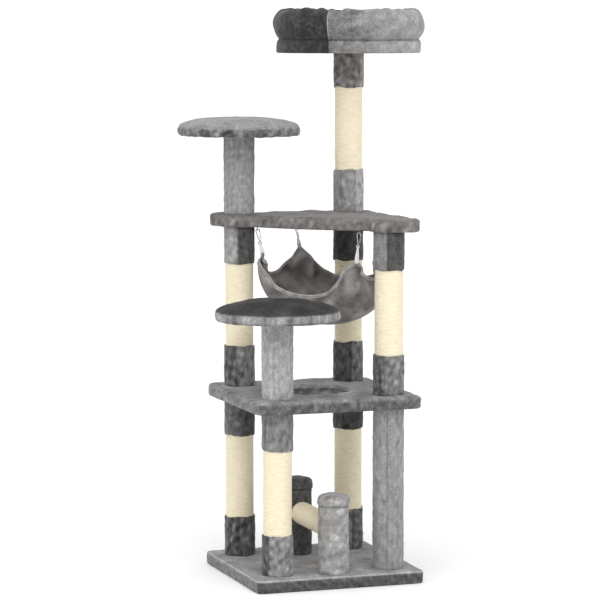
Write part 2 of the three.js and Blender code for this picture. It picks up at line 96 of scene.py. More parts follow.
class Shader:
    """A Principled material that is built up node by node."""

    def __init__(self, name, roughness, metallic=0.0, specular=0.5):
        self.material = bpy.data.materials.new(name)
        self.material.use_nodes = True
        self.tree = self.material.node_tree
        self.tree.nodes.clear()
        output = self.add("ShaderNodeOutputMaterial")
        self.surface = self.add("ShaderNodeBsdfPrincipled", {
            "Roughness": roughness, "Metallic": metallic, "Specular IOR Level": specular})
        self.link(self.surface.outputs[0], output.inputs[0])
        self.coordinates = self.add("ShaderNodeTexCoord")

    def add(self, kind, values=None):
        node = self.tree.nodes.new(kind)
        set_inputs(node, values or {})
        return node

    def link(self, source, target):
        self.tree.links.new(source, target)

    def place(self, scale=(1, 1, 1), output="Object", turn=(0, 0, 0)):
        node = self.add("ShaderNodeMapping", {"Scale": scale, "Rotation": turn})
        self.link(self.coordinates.outputs[output], node.inputs["Vector"])
        return node.outputs["Vector"]

    def texture(self, kind, vector, values):
        node = self.add(kind, values)
        self.link(vector, node.inputs["Vector"])
        return node

    def noise(self, vector, scale, detail=2.0, rough=0.5):
        values = {"Scale": scale, "Detail": detail, "Roughness": rough}
        return self.texture("ShaderNodeTexNoise", vector, values).outputs["Fac"]

    def wave(self, vector, scale, distortion, direction="X"):
        values = {"Scale": scale, "Distortion": distortion, "Detail Scale": 2.0}
        node = self.texture("ShaderNodeTexWave", vector, values)
        node.bands_direction = direction
        return node.outputs["Fac"]

    def attribute(self, name):
        node = self.add("ShaderNodeAttribute")
        node.attribute_name = name
        return node.outputs["Fac"]

    def calc(self, operation, first, second=0.0, third=0.0):
        node = self.add("ShaderNodeMath")
        node.operation = operation
        for socket, value in zip(node.inputs, (first, second, third)):
            if isinstance(value, (int, float)):
                socket.default_value = value
            else:
                self.link(value, socket)
        return node.outputs[0]

    def vary(self, value, noise, amount):
        """The value, raised where the noise is above a half and lowered where it is below."""
        return self.calc("MULTIPLY_ADD", self.calc("SUBTRACT", noise, 0.5), amount, value)

    def colours(self, value, *stops):
        """The surface's colour by value; each stop is a position and a red, green and blue."""
        node = self.add("ShaderNodeValToRGB")
        points = node.color_ramp.elements
        while len(points) < len(stops):
            points.new(0.5)
        for point, (position, colour) in zip(points, stops):
            point.position = position
            point.color = srgb(*colour)
        self.link(value, node.inputs["Fac"])
        self.link(node.outputs["Color"], self.surface.inputs["Base Color"])

    def bump(self, height, strength, distance):
        node = self.add("ShaderNodeBump", {"Strength": strength, "Distance": distance})
        self.link(height, node.inputs["Height"])
        self.link(node.outputs["Normal"], self.surface.inputs["Normal"])

    def sheen(self, weight, roughness, tint):
        set_inputs(self.surface, {
            "Sheen Weight": weight, "Sheen Roughness": roughness, "Sheen Tint": tint})


# ---------------- materials
def plush(name, shades, streak=1.0, patch=1.0, sheen=0.2):
    """Short pile: nap on the mesh says which way the pile is brushed and holds painted shade and
    highlights; noise adds patches.
    """
    made = Shader(name, roughness=0.95, specular=0.12)
    even = made.place()
    brushed = made.place((1, 1, streak))
    patches = made.noise(even, 14, 3.0, 0.55)
    marks = made.noise(brushed, 95, 4.0, 0.6)
    tufts = made.noise(brushed, 260, 3.0, 0.65)
    fibres = made.noise(brushed, 900, 2.0, 0.6)
    value = made.calc("MULTIPLY_ADD", made.attribute("nap"), 0.5, 0.5)
    value = made.vary(value, patches, 0.14 * patch)
    value = made.vary(value, marks, 0.52 * patch)
    value = made.vary(value, tufts, 0.50)
    value = made.vary(value, fibres, 0.34)
    made.colours(value, *zip((0.0, 0.33, 0.67, 1.0), shades))
    height = made.calc("MULTIPLY_ADD", tufts, 1.2, made.calc("MULTIPLY", fibres, 0.6))
    height = made.calc("MULTIPLY_ADD", marks, 0.8, height)
    made.bump(height, 0.45, 0.0016)
    made.sheen(sheen, 0.45, (0.9, 0.9, 0.92, 1.0))
    return made.material


GREY = ((44, 43, 42), (90, 89, 88), (147, 146, 145), (206, 205, 204))
WARM_GREY = ((50, 47, 47), (92, 88, 87), (130, 126, 124), (166, 162, 159))
SUEDE_GREY = ((64, 60, 60), (104, 100, 99), (138, 134, 132), (172, 169, 166))
POUCH_INSIDE_GREY = ((86, 82, 81), (120, 116, 114), (146, 142, 140), (174, 170, 167))
PALE_GREY = ((102, 99, 98), (134, 131, 129), (160, 157, 155), (186, 183, 181))
PLUSH = plush("plush", GREY)
POST_PLUSH = plush("post plush", GREY, streak=0.6, patch=0.8)
WARM_PLUSH = plush("warm plush", WARM_GREY)
LID_PLUSH = plush("lid plush", GREY, patch=0.5, sheen=0.04)
SUEDE = plush("suede", SUEDE_GREY, patch=0.8)
# the pouch's inside: the same cloth in a tone of its own, painted for the light inside the pouch
POUCH_INSIDE = plush("pouch inside", POUCH_INSIDE_GREY, patch=0.8, sheen=0.08)
BINDING = plush("binding", PALE_GREY, patch=0.5)


def sisal():
    made = Shader("sisal", roughness=0.85, specular=0.25)
    flat = made.place(output="UV")
    strands = made.place(output="UV", turn=(0, 0, math.radians(38)))
    twist = made.wave(strands, 190, 1.5)
    long_fibres = made.noise(made.place((60, 900, 1), "UV"), 1.0, 3.0, 0.6)
    stains = made.noise(flat, 26, 3.0, 0.6)
    flecks = made.noise(made.place((170, 520, 1), "UV"), 1.0, 1.0, 0.4)
    # darker in the grooves between the rope's turns: painted shade
    value = made.calc("MULTIPLY_ADD", made.attribute("groove"), -0.13, 0.76)
    value = made.vary(value, long_fibres, 0.6)
    value = made.vary(value, stains, 0.35)
    value = made.vary(value, twist, 0.10)
    dark = made.calc("GREATER_THAN", flecks, 0.765)
    value = made.calc("MULTIPLY_ADD", dark, -0.7, value)
    made.colours(value, (0.0, (118, 96, 66)), (0.3, (184, 166, 128)), (0.62, (225, 213, 182)),
                 (0.9, (243, 235, 212)))
    made.bump(made.calc("MULTIPLY_ADD", twist, 0.8, long_fibres), 0.5, 0.0010)
    made.sheen(0.10, 0.5, (1.0, 0.95, 0.85, 1.0))
    return made.material


def chipboard():
    made = Shader("chipboard", roughness=0.8, specular=0.25)
    even = made.place()
    chips = made.texture("ShaderNodeTexVoronoi", made.place((1, 0.45, 1)), {"Scale": 320})
    grain = made.noise(even, 420, 4.0, 0.6)
    value = made.vary(0.5, grain, 1.1)
    value = made.calc("MULTIPLY_ADD", chips.outputs["Distance"], -0.25, value)
    made.colours(value, (0.0, (118, 86, 52)), (0.4, (170, 134, 90)), (0.8, (208, 178, 132)))
    made.bump(grain, 0.35, 0.0006)
    return made.material


def steel():
    made = Shader("steel", roughness=0.28, metallic=1.0)
    even = made.place()
    smears = made.noise(even, 160, 3.0, 0.6)
    made.colours(smears, (0.3, (150, 152, 156)), (0.7, (214, 216, 220)))
    roughness = made.calc("MULTIPLY_ADD", smears, 0.25, 0.16)
    made.link(roughness, made.surface.inputs["Roughness"])
    made.bump(made.noise(even, 1200, 2.0), 0.08, 0.0003)
    return made.material


def webbing():
    made = Shader("webbing", roughness=0.8, specular=0.3)
    along = made.wave(made.place(output="UV"), 330, 0.3, "Y")
    across = made.wave(made.place(output="UV"), 420, 0.3, "X")
    weave = made.calc("MULTIPLY", along, across)
    made.colours(weave, (0.0, (222, 222, 221)), (0.6, (250, 250, 250)))
    made.bump(weave, 0.5, 0.0006)
    return made.material


SISAL, CHIPBOARD, STEEL, WEBBING = sisal(), chipboard(), steel(), webbing()


# ---------------- shapes by formula
def normed(vectors):
    return vectors / np.linalg.norm(vectors, axis=-1, keepdims=True)


def waves(points, wavelength, seed):
    """Smooth noise of about unit size: plane waves in random directions."""
    count = 9
    random = np.random.RandomState(seed)
    directions = normed(random.normal(size=(count, 3)))
    lengths = wavelength * (0.7 + 0.6 * random.rand(count))
    phases = random.rand(count) * TAU
    total = np.sin(points @ (directions * (TAU / lengths)[:, None]).T + phases).sum(-1)
    return total * math.sqrt(2 / count)


def smoothstep(value, low, high):
    share = np.clip((value - low) / (high - low), 0, 1)
    return share * share * (3 - 2 * share)


def bell(value, middle, width):
    return np.exp(-((value - middle) / width) ** 2)


def angles(count):
    return np.linspace(0, TAU, count, endpoint=False)


def plan_radius(points):
    return np.hypot(points[:, 0], points[:, 1])


def radial(points):
    """Unit vectors in plan, from the Z axis to each point."""
    return points[:, :2] / plan_radius(points)[:, None]


def polar(radius, theta, z):
    """Places round the Z axis, from numbers or arrays that fit together."""
    return np.stack(np.broadcast_arrays(radius * np.cos(theta), radius * np.sin(theta), z), -1)


def lathed(profile, columns):
    """Rings round Z, one for each (radius, z) pair, as one list of points."""
    return np.vstack([polar(radius, angles(columns), z) for radius, z in profile])


# ---------------- mesh helpers
def add_piece(name, vertices, faces, finish, body, slot, replaces=(), uv=None, **layers):
    """A smooth mesh that rides on a body; each further value is a number for every point."""
    mesh = bpy.data.meshes.new(name)
    mesh.from_pydata(np.asarray(vertices, float).tolist(), [], faces)
    mesh.polygons.foreach_set("use_smooth", [True] * len(mesh.polygons))
    for layer, values in layers.items():
        mesh.attributes.new(layer, "FLOAT", "POINT").data.foreach_set(
            "value", np.asarray(values, np.float32).ravel())
    if uv is not None:
        mesh.uv_layers.new(name="UVMap").data.foreach_set("uv", np.asarray(uv, np.float32).ravel())
    mesh.materials.append(finish)
    mesh.validate()
    mesh.update()
    made = bpy.data.objects.new(name, mesh)
    SCENE.collection.objects.link(made)
    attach(made, body)
    if replaces:
        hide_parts(*replaces)
    return made


def grid_faces(rows, columns, closed=True, start=0, flip=False):
    faces = []
    for i in range(rows - 1):
        for j in range(columns if closed else columns - 1):
            k = (j + 1) % columns
            quad = (start + i * columns + j, start + i * columns + k,
                    start + (i + 1) * columns + k, start + (i + 1) * columns + j)
            faces.append(quad[::-1] if flip else quad)
    return faces


def fan(ring, pole, flip=False):
    count = len(ring)
    faces = [(ring[i], ring[(i + 1) % count], pole) for i in range(count)]
    return [f[::-1] for f in faces] if flip else faces


def capped(points, columns, top, bottom=None):
    """Closes lathed rings with a pole above and, where one is given, below: points and faces."""
    count = len(points)
    faces = grid_faces(count // columns, columns)
    faces += fan(range(count - columns, count), count)
    poles = [(0, 0, top)]
    if bottom is not None:
        faces += fan(range(columns), count + 1, flip=True)
        poles.append((0, 0, bottom))
    return np.vstack([points, poles]), faces


def spline(points, count):
    """Catmull-Rom curve through the points, as count places."""
    points = np.asarray(points, float)
    total = len(points) - 1
    places = []
    for t in np.linspace(0, total, count):
        i = min(int(t), total - 1)
        f = t - i
        b, c = points[i], points[i + 1]
        a = points[i - 1] if i > 0 else 2 * b - c
        d = points[i + 2] if i + 2 < len(points) else 2 * c - b
        places.append(0.5 * (2 * b + (c - a) * f + (2 * a - 5 * b + 4 * c - d) * f * f
                             + (3 * b - a - 3 * c + d) * f ** 3))
    return np.array(places)


def loop_tangents(path):
    return normed(np.roll(path, -1, 0) - np.roll(path, 1, 0))


def looped(count, around):
    """Faces that join the last ring of a closed sweep to its first."""
    last = (count - 1) * around
    return [(last + j, last + (j + 1) % around, (j + 1) % around, j) for j in range(around)]


def swept(path, section, up, closed=False, widths=None):
    """A closed section of (side, up) pairs carried along a path; returns vertices and faces."""
    path = np.asarray(path, float)
    tangents = loop_tangents(path) if closed else normed(np.gradient(path, axis=0))
    normal = np.asarray(up, float)
    rows = []
    widths = np.ones(len(path)) if widths is None else widths
    for place, tangent, width in zip(path, tangents, widths):
        normal = normed(normal - tangent * (normal @ tangent))
        side = np.cross(tangent, normal) * width
        rows.append([place + side * s + normal * h for s, h in section])
    vertices = np.array(rows).reshape(-1, 3)
    count, around = len(path), len(section)
    faces = grid_faces(count, around)
    if closed:
        faces += looped(count, around)
    else:
        faces += [tuple(range(around))[::-1], tuple(range((count - 1) * around, count * around))]
    return vertices, faces


def circle(radius):
    turns = [TAU * i / 12 for i in range(12)]
    return [(radius * math.cos(a), radius * math.sin(a)) for a in turns]


# ---------------- boards
CORNERS = {
    "back_left": (-171, 170), "front_left": (-167, -170),
    "back_right": (171, 170), "front_right": (171, -170),
}


def arc(centre, radius, start, end):
    steps = max(3, int(abs(end - start) * radius / 4))
    return [(centre[0] + radius * math.cos(a), centre[1] + radius * math.sin(a))
            for a in np.linspace(start, end, steps)]


def square_outline(width, corner):
    inner = width / 2 - corner
    points = []
    for quarter, (sx, sy) in enumerate(((1, 1), (-1, 1), (-1, -1), (1, -1))):
        start = quarter * math.pi / 2
        points += arc((sx * inner, sy * inner), corner, start, start + math.pi / 2)
    return points


def cut_outline(width, corner, lobe, bulge):
    """Three corners of a square, lobes over two posts and a bowed edge between them."""
    inner = width / 2 - corner
    left, right = CORNERS["back_left"], CORNERS["front_right"]
    points = arc((inner, inner), corner, 0, math.pi / 2)
    points += arc((-inner, inner), corner, math.pi / 2, math.pi)
    lower = arc(left, lobe, math.pi, 1.62 * math.pi)
    upper = arc(right, lobe, 0.88 * math.pi, 1.5 * math.pi)
    start, end = np.array(lower[-1]), np.array((right[0] - lobe * 0.93, right[1] + lobe * 0.37))
    bow = np.array((-bulge * 1.1, -bulge * 1.1))
    curve = [tuple((1 - t) ** 2 * start + 2 * t * (1 - t) * bow + t * t * end)
             for t in np.linspace(0, 1, 50)[1:-1]]
    points += lower + curve + upper
    points += arc((inner, -inner), corner, 1.5 * math.pi, TAU)
    return points


def resampled(points, spacing):
    """Evenly spaced places along a closed outline, rounded off a little."""
    points = np.array(points, float)
    closed = np.vstack([points, points[:1]])
    steps = np.linalg.norm(np.diff(closed, axis=0), axis=1)
    keep = np.concatenate([[True], steps > 1e-6])
    closed, along = closed[keep], np.concatenate([[0], np.cumsum(steps)])[keep]
    places = np.linspace(0, along[-1], int(along[-1] / spacing), endpoint=False)
    outline = np.stack([np.interp(places, along, closed[:, k]) for k in (0, 1)], 1)
    for _ in range(2):
        outline = 0.5 * outline + 0.25 * (np.roll(outline, 1, 0) + np.roll(outline, -1, 0))
    return outline


def outward(outline):
    tangents = loop_tangents(outline)
    return np.stack([tangents[:, 1], -tangents[:, 0]], 1)


def inside(points, outline):
    """Which points lie inside a closed outline."""
    a, b = outline, np.roll(outline, -1, 0)
    x, y = points[:, 0, None], points[:, 1, None]
    crosses = (a[None, :, 1] > y) != (b[None, :, 1] > y)
    run = (b[None, :, 1] - a[None, :, 1]) + 1e-12
    reach = a[None, :, 0] + (y - a[None, :, 1]) * (b[None, :, 0] - a[None, :, 0]) / run
    return (crosses & (x < reach)).sum(1) % 2 == 1


def between(points, loops):
    """Which points lie inside the outer loop and outside the holes."""
    keep = inside(points, loops[0])
    for hole in loops[1:]:
        keep &= ~inside(points, hole)
    return keep


def fill_between(loops, spacing):
    """Triangles between an outer loop and the loops of its holes: (new points, faces).
    Indices below the loops' total length are the loops' own points, in order."""
    given = np.vstack(loops)
    edges, start = [], 0
    for loop in loops:
        count = len(loop)
        edges += [(start + i, start + (i + 1) % count) for i in range(count)]
        start += count
    low, high = loops[0].min(0), loops[0].max(0)
    xs = np.arange(low[0], high[0], spacing)
    ys = np.arange(low[1], high[1], spacing * 0.87)
    candidates = np.vstack([np.stack([xs + spacing * 0.5 * (k % 2), np.full(len(xs), y)], 1)
                            for k, y in enumerate(ys)])
    near = np.min(np.linalg.norm(candidates[:, None] - given[None], axis=2), axis=1)
    candidates = candidates[between(candidates, loops) & (near > spacing * 0.55)]
    everything = np.vstack([given, candidates])
    out = delaunay_2d_cdt([Vector(p) for p in everything], edges, [], 0, 1e-7)
    source = [origins[0] for origins in out[3]]
    faces = np.array([[source[i] for i in face] for face in out[2]])
    faces = faces[between(everything[faces].mean(1), loops)]
    a, b, c = (everything[faces[:, k]] for k in range(3))
    turn = (b - a)[:, 0] * (c - a)[:, 1] - (b - a)[:, 1] * (c - a)[:, 0]
    faces = np.where((turn > 0)[:, None], faces, faces[:, ::-1])
    return candidates, faces


def edge_profile(bottom, top, round_top, round_bottom, hem):
    """(inset, z) pairs from the hem under a board, round its edge and onto its top."""
    pairs = [(hem, bottom), (hem * 0.6, bottom), (round_bottom + 2, bottom)]
    for a in np.linspace(0, math.pi / 2, 5):
        pairs.append((round_bottom * (1 - math.sin(a)), bottom + round_bottom * (1 - math.cos(a))))
    pairs += [(0, z) for z in np.linspace(bottom + round_bottom, top - round_top, 6)[1:-1]]
    for a in np.linspace(0, math.pi / 2, 6):
        pairs.append((round_top * (1 - math.cos(a)), top - round_top * (1 - math.sin(a))))
    pairs.append((round_top + 4, top))
    return pairs


def skirt(outline, normals, profile):
    """The outline once for each (inset, z) pair of the profile."""
    return [np.column_stack([outline - normals * inset, np.full(len(outline), z)])
            for inset, z in profile]


def board_shell(outline, normals, profile, hole, underside):
    """A board's cover before it is softened: points, faces and how many points the edge has.
    A hole is given as its radius and the profile of its wall."""
    skirts = [skirt(outline, normals, profile)]
    if hole:
        radius, wall = hole
        ring = np.array(arc((0, 0), radius, 0, TAU)[:-1])
        skirts.append(skirt(ring, -outward(ring), wall))
    faces, vertices, total = [], [], 0
    top_index, low_index = [], []
    for rows in skirts:
        around = len(rows[0])
        faces += grid_faces(len(rows), around, start=total, flip=total > 0)
        vertices.append(np.vstack(rows))
        low_index.append(np.arange(total, total + around))
        total += len(rows) * around
        top_index.append(np.arange(total - around, total))
    sides = [([rows[-1] for rows in skirts], top_index, profile[-1][1], 10, False)]
    if underside:
        sides.append(([rows[0] for rows in skirts], low_index, profile[0][1], 22, True))
    for rings, index, height, spacing, flip in sides:
        extra, triangles = fill_between([ring[:, :2] for ring in rings], spacing)
        vertices.append(np.column_stack([extra, np.full(len(extra), height)]))
        lookup = np.concatenate([*index, np.arange(total, total + len(extra))])
        triangles = lookup[triangles]
        faces += [tuple(t) for t in (triangles[:, ::-1] if flip else triangles).tolist()]
        total += len(extra)
    return np.vstack(vertices), faces, len(vertices[0])


def board_cover(name, outline, bottom, top, seed, finish, nap_of, stands_for, rounding, thick,
                hole=None, hem=14, underside=True):
    """Plush stretched over a board and round its edges; everything in millimetres."""
    outline = resampled(outline, 5)
    normals = outward(outline)
    under = bottom - (0.8 if bottom else 0.5)
    profile = edge_profile(under, top, rounding, rounding * 0.8, hem)
    wall = edge_profile(under, top, rounding, rounding, 16)
    points, faces, on_edge = board_shell(outline, normals, profile, hole and (hole, wall), underside)
    height = np.clip((points[:, 2] - (bottom + top) / 2) / ((top - bottom) / 2), -1, 1)
    soft = waves(points, 95, seed) * 0.7 + waves(points, 34, seed + 1) * 0.35
    puff = (1 - height ** 2) * (waves(points, 46, seed + 2) * 0.9 + 0.6)
    puff[on_edge:] = 0
    away = ((points[:, None, :2] - outline[None, ::4]) ** 2).sum(2)  # from every fourth edge point
    points[:, :2] += normals[np.argmin(away, axis=1) * 4] * (puff * thick)[:, None]
    points[:, 2] += soft * thick * (height > 0.2)
    return add_piece(name, points * MM, faces, finish, "frame", "plush",
                     nap=nap_of(points), replaces=stands_for)


BASE_TOP, MIDDLE, TOP = 36, (507, 543), (1014, 1050)
FRONT_PERCH_UNDER, LEFT_PERCH_UNDER, BED_UNDER = 769, 1281, 1521
HOLE_RADIUS = 104
FRONT_FACE = -240  # in y; only the front faces of the base and the middle board lie before it


def board_nap(p, board_top, edge, top, side, front=0):
    """Nap on a board's top and on its sides; its front face is darker by the last value, as painted
    shade.
    """
    down = 1 - smoothstep(p[:, 2], board_top - edge, board_top - 2)
    return top * (1 - down) + down * side - front * down * (p[:, 1] < FRONT_FACE)


def base_nap(p):
    top = 0.02 + 0.09 * waves(p * (1, 1.6, 1), 90, 11)
    nap = board_nap(p, BASE_TOP, 9, top, -0.17 + 0.12 * waves(p, 22, 12), 0.38)
    # a painted highlight along the rounded top edge
    return nap + bell(p[:, 2], BASE_TOP - 2.5, 2.2) * 0.5


def middle_nap(p):
    top = 0.10 + 0.15 * waves(p, 75, 21) + 0.09 * waves(p, 28, 22)
    nap = board_nap(p, MIDDLE[1], 13, top, -0.10 + 0.11 * waves(p, 30, 23), 0.28)
    # the hole's wall is darker: painted shade in the hole
    return np.where(plan_radius(p) < HOLE_RADIUS + 0.5, -0.35 + 0.2 * waves(p, 30, 24), nap)


def top_nap(p):
    top = -0.05 + 0.12 * waves(p, 110, 31)
    return board_nap(p, TOP[1], 13, top, -0.05 + 0.22 * waves(p, 24, 32))


board_cover("base_plush", square_outline(width=506, corner=16), 0, BASE_TOP, 101, PLUSH, base_nap,
            ["base_cover"], rounding=6, thick=0.8, underside=False)
board_cover("middle_plush", square_outline(width=502, corner=32), *MIDDLE, 111, PLUSH, middle_nap,
            ["middle_cover", "middle_board"], hole=HOLE_RADIUS, rounding=11, thick=1.3, hem=26)
board_cover("top_plush", cut_outline(width=492, corner=32, lobe=62, bulge=48), *TOP, 121,
            WARM_PLUSH, top_nap, ["top_cover", "top_board"], rounding=9, thick=1.4, hem=20)

# ---------------- plush round the posts
AROUND = 72
SLEEVE_RADIUS, SISAL_RADIUS, TUBE_RADIUS = 45.4, 41.0, 36.0


def turned(theta, degrees):
    """Angles counted from a line that many degrees right of the front, between -pi and pi."""
    return (theta - FRONT - math.radians(degrees) + math.pi) % TAU - math.pi


def seam_side(theta, seam):
    """-1 left of the seam, 1 right of it, as seen from the front, with a sharp change."""
    return np.tanh(np.sin(theta - FRONT - math.radians(seam)) * 14)


def near_angle(theta, degrees, width):
    return bell(turned(theta, degrees), 0, math.radians(width))


def sleeve(name, at, bottom, top, seed, node, left, right, seam, mottle, free=None, streak=0.0):
    """A tube of plush: a lapped seam, a slightly uneven skin and a free end that wanders."""
    steps = max(4, round((top - bottom) / 5))
    heights = np.arange(bottom, top + 1e-6, (top - bottom) / steps)
    theta, level = np.meshgrid(angles(AROUND), heights)
    ring = polar(1, theta, 0)
    skin = ring * SLEEVE_RADIUS + level[..., None] * (0, 0, 1)
    r = SLEEVE_RADIUS - 0.3 + 0.45 * waves(skin, 60, seed) + 0.3 * waves(skin, 19, seed + 1)
    r += 0.7 * near_angle(theta, seam + 5, 4) - 1.5 * near_angle(theta, seam, 2.2)
    r -= 1.1 * np.exp(-np.minimum(level - bottom, top - level) / 2.5)
    wander = 1.3 * waves(ring[:1] * 40, 55, seed + 2) + 0.6 * waves(ring[:1] * 40, 14, seed + 3)
    z = level.copy()
    if free == "top":
        z += wander * smoothstep(level, top - 14, top)
    if free == "bottom":
        z -= wander * (1 - smoothstep(level, bottom, bottom + 14))
    outer = polar(r, theta, z)
    flat = np.array([1, 1, 0])
    ends = []
    for end, lip in ((0, -0.4), (-1, 0.4)):  # the cut edge, and inside it the way in to the rope
        ends.append([outer[end] * ((SISAL_RADIUS - 1.2) / r[end])[:, None] ** flat,
                     outer[end] + ring[0] * -1.2 + np.array([0, 0, lip])])
    rows = [*ends[0], *outer, *ends[1][::-1]]
    points = np.array(rows).reshape(-1, 3)
    all_theta = np.tile(angles(AROUND), len(rows))
    share = (seam_side(all_theta, seam) + 1) / 2
    nap = left * (1 - share) + right * share
    nap = nap + mottle * waves(points + seed, 26, seed + 5) * 0.5
    nap = nap + mottle * waves(points * (1, 1, 0.5) + seed, 13, seed + 6) * 0.3
    nap = nap + streak * waves(points * (1, 1, 0.06) + seed, 12, seed + 7)
    # darker along the seam's crease: painted shade
    nap = nap - 0.35 * near_angle(all_theta, seam, 2.0)
    points[:, :2] += at
    return add_piece(name, points * MM, grid_faces(len(rows), AROUND), POST_PLUSH,
                     "frame", "dark_plush", replaces=node, nap=nap)


SISAL_LENGTH, STAGE = 244.0, 471.0
ROPE, ROPE_DEPTH = 4.9, 0.7
ROPE_SECTION = np.array([1.0, 0.32, 0.0, 0.0, 0.32])  # share of the depth, from groove to groove


def winding(length, radius, start, seed):
    """Rope wound on a tube round Z: (vertices, faces, uv, groove), in millimetres."""
    per_turn, columns = len(ROPE_SECTION), 60
    rows = (int(length / ROPE) + 2) * per_turn + 1
    index, column = np.meshgrid(np.arange(rows), np.arange(columns), indexing="ij")
    theta = TAU * column / columns
    z = start - ROPE + ROPE * (index / per_turn + column / columns)
    groove = ROPE_SECTION[index % per_turn]
    body = polar(radius, theta, z)
    r = radius - ROPE_DEPTH * groove + 0.22 * waves(body * (1, 1, 2.2), 17, seed)
    z = z + 0.35 * waves(body * (1, 1, 0.4), 45, seed + 1)
    points = polar(r, theta, z).reshape(-1, 3)
    faces, uv = [], []
    for i in range(rows - 1):
        for j in range(columns):
            here, beside = i * columns + j, i * columns + j + 1
            if j == columns - 1:  # one turn on, the rope lies one pitch higher
                beside = (i + per_turn) * columns
                if i + per_turn + 1 >= rows:
                    continue
            faces.append((here, beside, beside + columns, here + columns))
            u = TAU * radius * np.array([j, j + 1, j + 1, j]) / columns
            v = ROPE * np.array([i, i, i + 1, i + 1]) / per_turn
            uv += [(u[k] * MM + i // per_turn * 0.07, v[k] * MM) for k in range(4)]
    return points, faces, uv, groove.ravel()


def cut_ends(made, low, high, axis, centre, inner):
    """Cuts a winding square at both ends and closes it inwards to a smaller radius."""
    bm = bmesh.new()
    bm.from_mesh(made.data)
    direction = Vector(axis)
    for place, outer in ((low, -1), (high, 1)):
        geometry = bm.verts[:] + bm.edges[:] + bm.faces[:]
        bmesh.ops.bisect_plane(bm, geom=geometry, plane_co=Vector(centre) + direction * place,
                               plane_no=direction * outer, clear_outer=True)
    rim = [e for e in bm.edges if e.is_boundary]
    grown = bmesh.ops.extrude_edge_only(bm, edges=rim)["geom"]
    for vertex in [g for g in grown if isinstance(g, bmesh.types.BMVert)]:
        off = vertex.co - Vector(centre)
        along = direction * off.dot(direction)
        flat = off - along
        vertex.co = Vector(centre) + along + flat.normalized() * inner
    bmesh.ops.recalc_face_normals(bm, faces=bm.faces[:])
    bm.to_mesh(made.data)
    bm.free()
    made.data.polygons.foreach_set("use_smooth", [True] * len(made.data.polygons))


# post: corner, underside, height of the lower sleeve
SISAL_POSTS = {
    "back_left_lower": ("back_left", BASE_TOP, 117),
    "front_left_lower": ("front_left", BASE_TOP, 117),
    "back_right_lower": ("back_right", BASE_TOP, 121),
    "back_left_upper": ("back_left", MIDDLE[1], 118),
    "back_right_upper": ("back_right", MIDDLE[1], 119),
    "front_right_upper": ("front_right", MIDDLE[1], 115),
    "bed": ("back_right", TOP[1], 126),
}
# piece: nap left of the seam, nap right of it, where the seam is (degrees to the right), mottling
NAPS = {
    "back_left_lower_foot": (-0.55, -0.45, 8, 0.42),
    "back_left_lower_head": (-0.25, -0.60, 12, 0.14),
    "front_left_lower_foot": (-0.60, 0.05, -32, 0.30),
    "front_left_lower_head": (-0.12, -0.05, -50, 0.16),
    "back_right_lower_foot": (-0.02, -0.36, 20, 0.24),
    "back_right_lower_head": (-0.45, -0.74, -20, 0.16),
    "back_left_upper_foot": (-0.38, 0.02, -8, 0.30),
    "back_left_upper_head": (0.25, -0.62, -2, 0.18),
    "back_right_upper_foot": (-0.50, -0.26, 10, 0.26),
    "back_right_upper_head": (-0.66, -0.60, 40, 0.12),
    "front_right_upper_foot": (-0.40, -0.12, -35, 0.30),
    "front_right_upper_head": (-0.02, -0.62, -6, 0.13),
    "bed_foot": (0.18, 0.40, 25, 0.22),
    "bed_head": (-0.14, 0.16, 42, 0.28),
}


def sisal_post(name, corner, under, lower, seed):
    """The rope round a post and the plush sleeves at its foot and its head."""
    x, y = CORNERS[corner]
    low, high = under + lower, under + lower + SISAL_LENGTH
    points, faces, uv, groove = winding(SISAL_LENGTH + 10, SISAL_RADIUS, low - 5, seed)
    rope = add_piece(f"{name}_sisal", (points + (x, y, 0)) * MM, faces, SISAL, "frame", "sisal",
                     uv=uv, replaces=[f"{name}_sisal_post"], groove=groove)
    cut_ends(rope, (low - 4) * MM, (high + 4) * MM, (0, 0, 1), (x * MM, y * MM, 0), TUBE_RADIUS * MM)
    for part, bottom, top, free, step in (
        ("foot", under - 1, low, "top", 3), ("head", high, under + STAGE + 1, "bottom", 7),
    ):
        left, right, seam, mottle = NAPS[f"{name}_{part}"]
        sleeve(f"{name}_{part}_plush", (x, y), bottom, top, seed + step,
               [f"{name}_{part}_sleeve"], left, right, seam, mottle, free)


for index, (name, place) in enumerate(SISAL_POSTS.items()):
    sisal_post(name, *place, seed=200 + 20 * index)

# post: corner, underside, top, nap left and right of the seam, seam
PLUSH_POSTS = {
    "front_right_lower_post": ("front_right", BASE_TOP, MIDDLE[0], 0.24, 0.20, -4),
    "front_perch_post": ("front_left", MIDDLE[1], FRONT_PERCH_UNDER, 0.50, 0.42, -12),
    "left_perch_post": ("back_left", TOP[1], LEFT_PERCH_UNDER, 0.24, 0.30, 70),
}
for index, (name, (corner, under, top, left, right, seam)) in enumerate(PLUSH_POSTS.items()):
    sleeve(f"{name}_plush", CORNERS[corner], under - 1, top + 1, 400 + 11 * index, [name],
           left, right, seam, 0.10, streak=0.03)

# ---------------- round perches
PERCH_RADIUS, PERCH_RIM = 178, 28
# a perch's rim from its hem up, as radius past PERCH_RADIUS and height over the underside
RIM_SHAPE = [(-26, -0.6), (-12, -0.4), (-4, 1.4), (-1, 4), (0, 7.5), (0.6, 12), (0.6, 17), (0, 21),
             (-1.4, 24.5)]
LID_SHARES = (0.975, 0.95, 0.92, 0.88, 0.83, 0.77, 0.70, 0.62, 0.53, 0.43, 0.32, 0.21, 0.10)


def stuffed(name, corner, under, points, faces, node, nap):
    """A padded plush piece, given round Z and over its underside, at one of the corners."""
    made = add_piece(name, (points + (*CORNERS[corner], under)) * MM, faces, PLUSH, "frame",
                     "plush", replaces=[node], nap=nap)
    return made


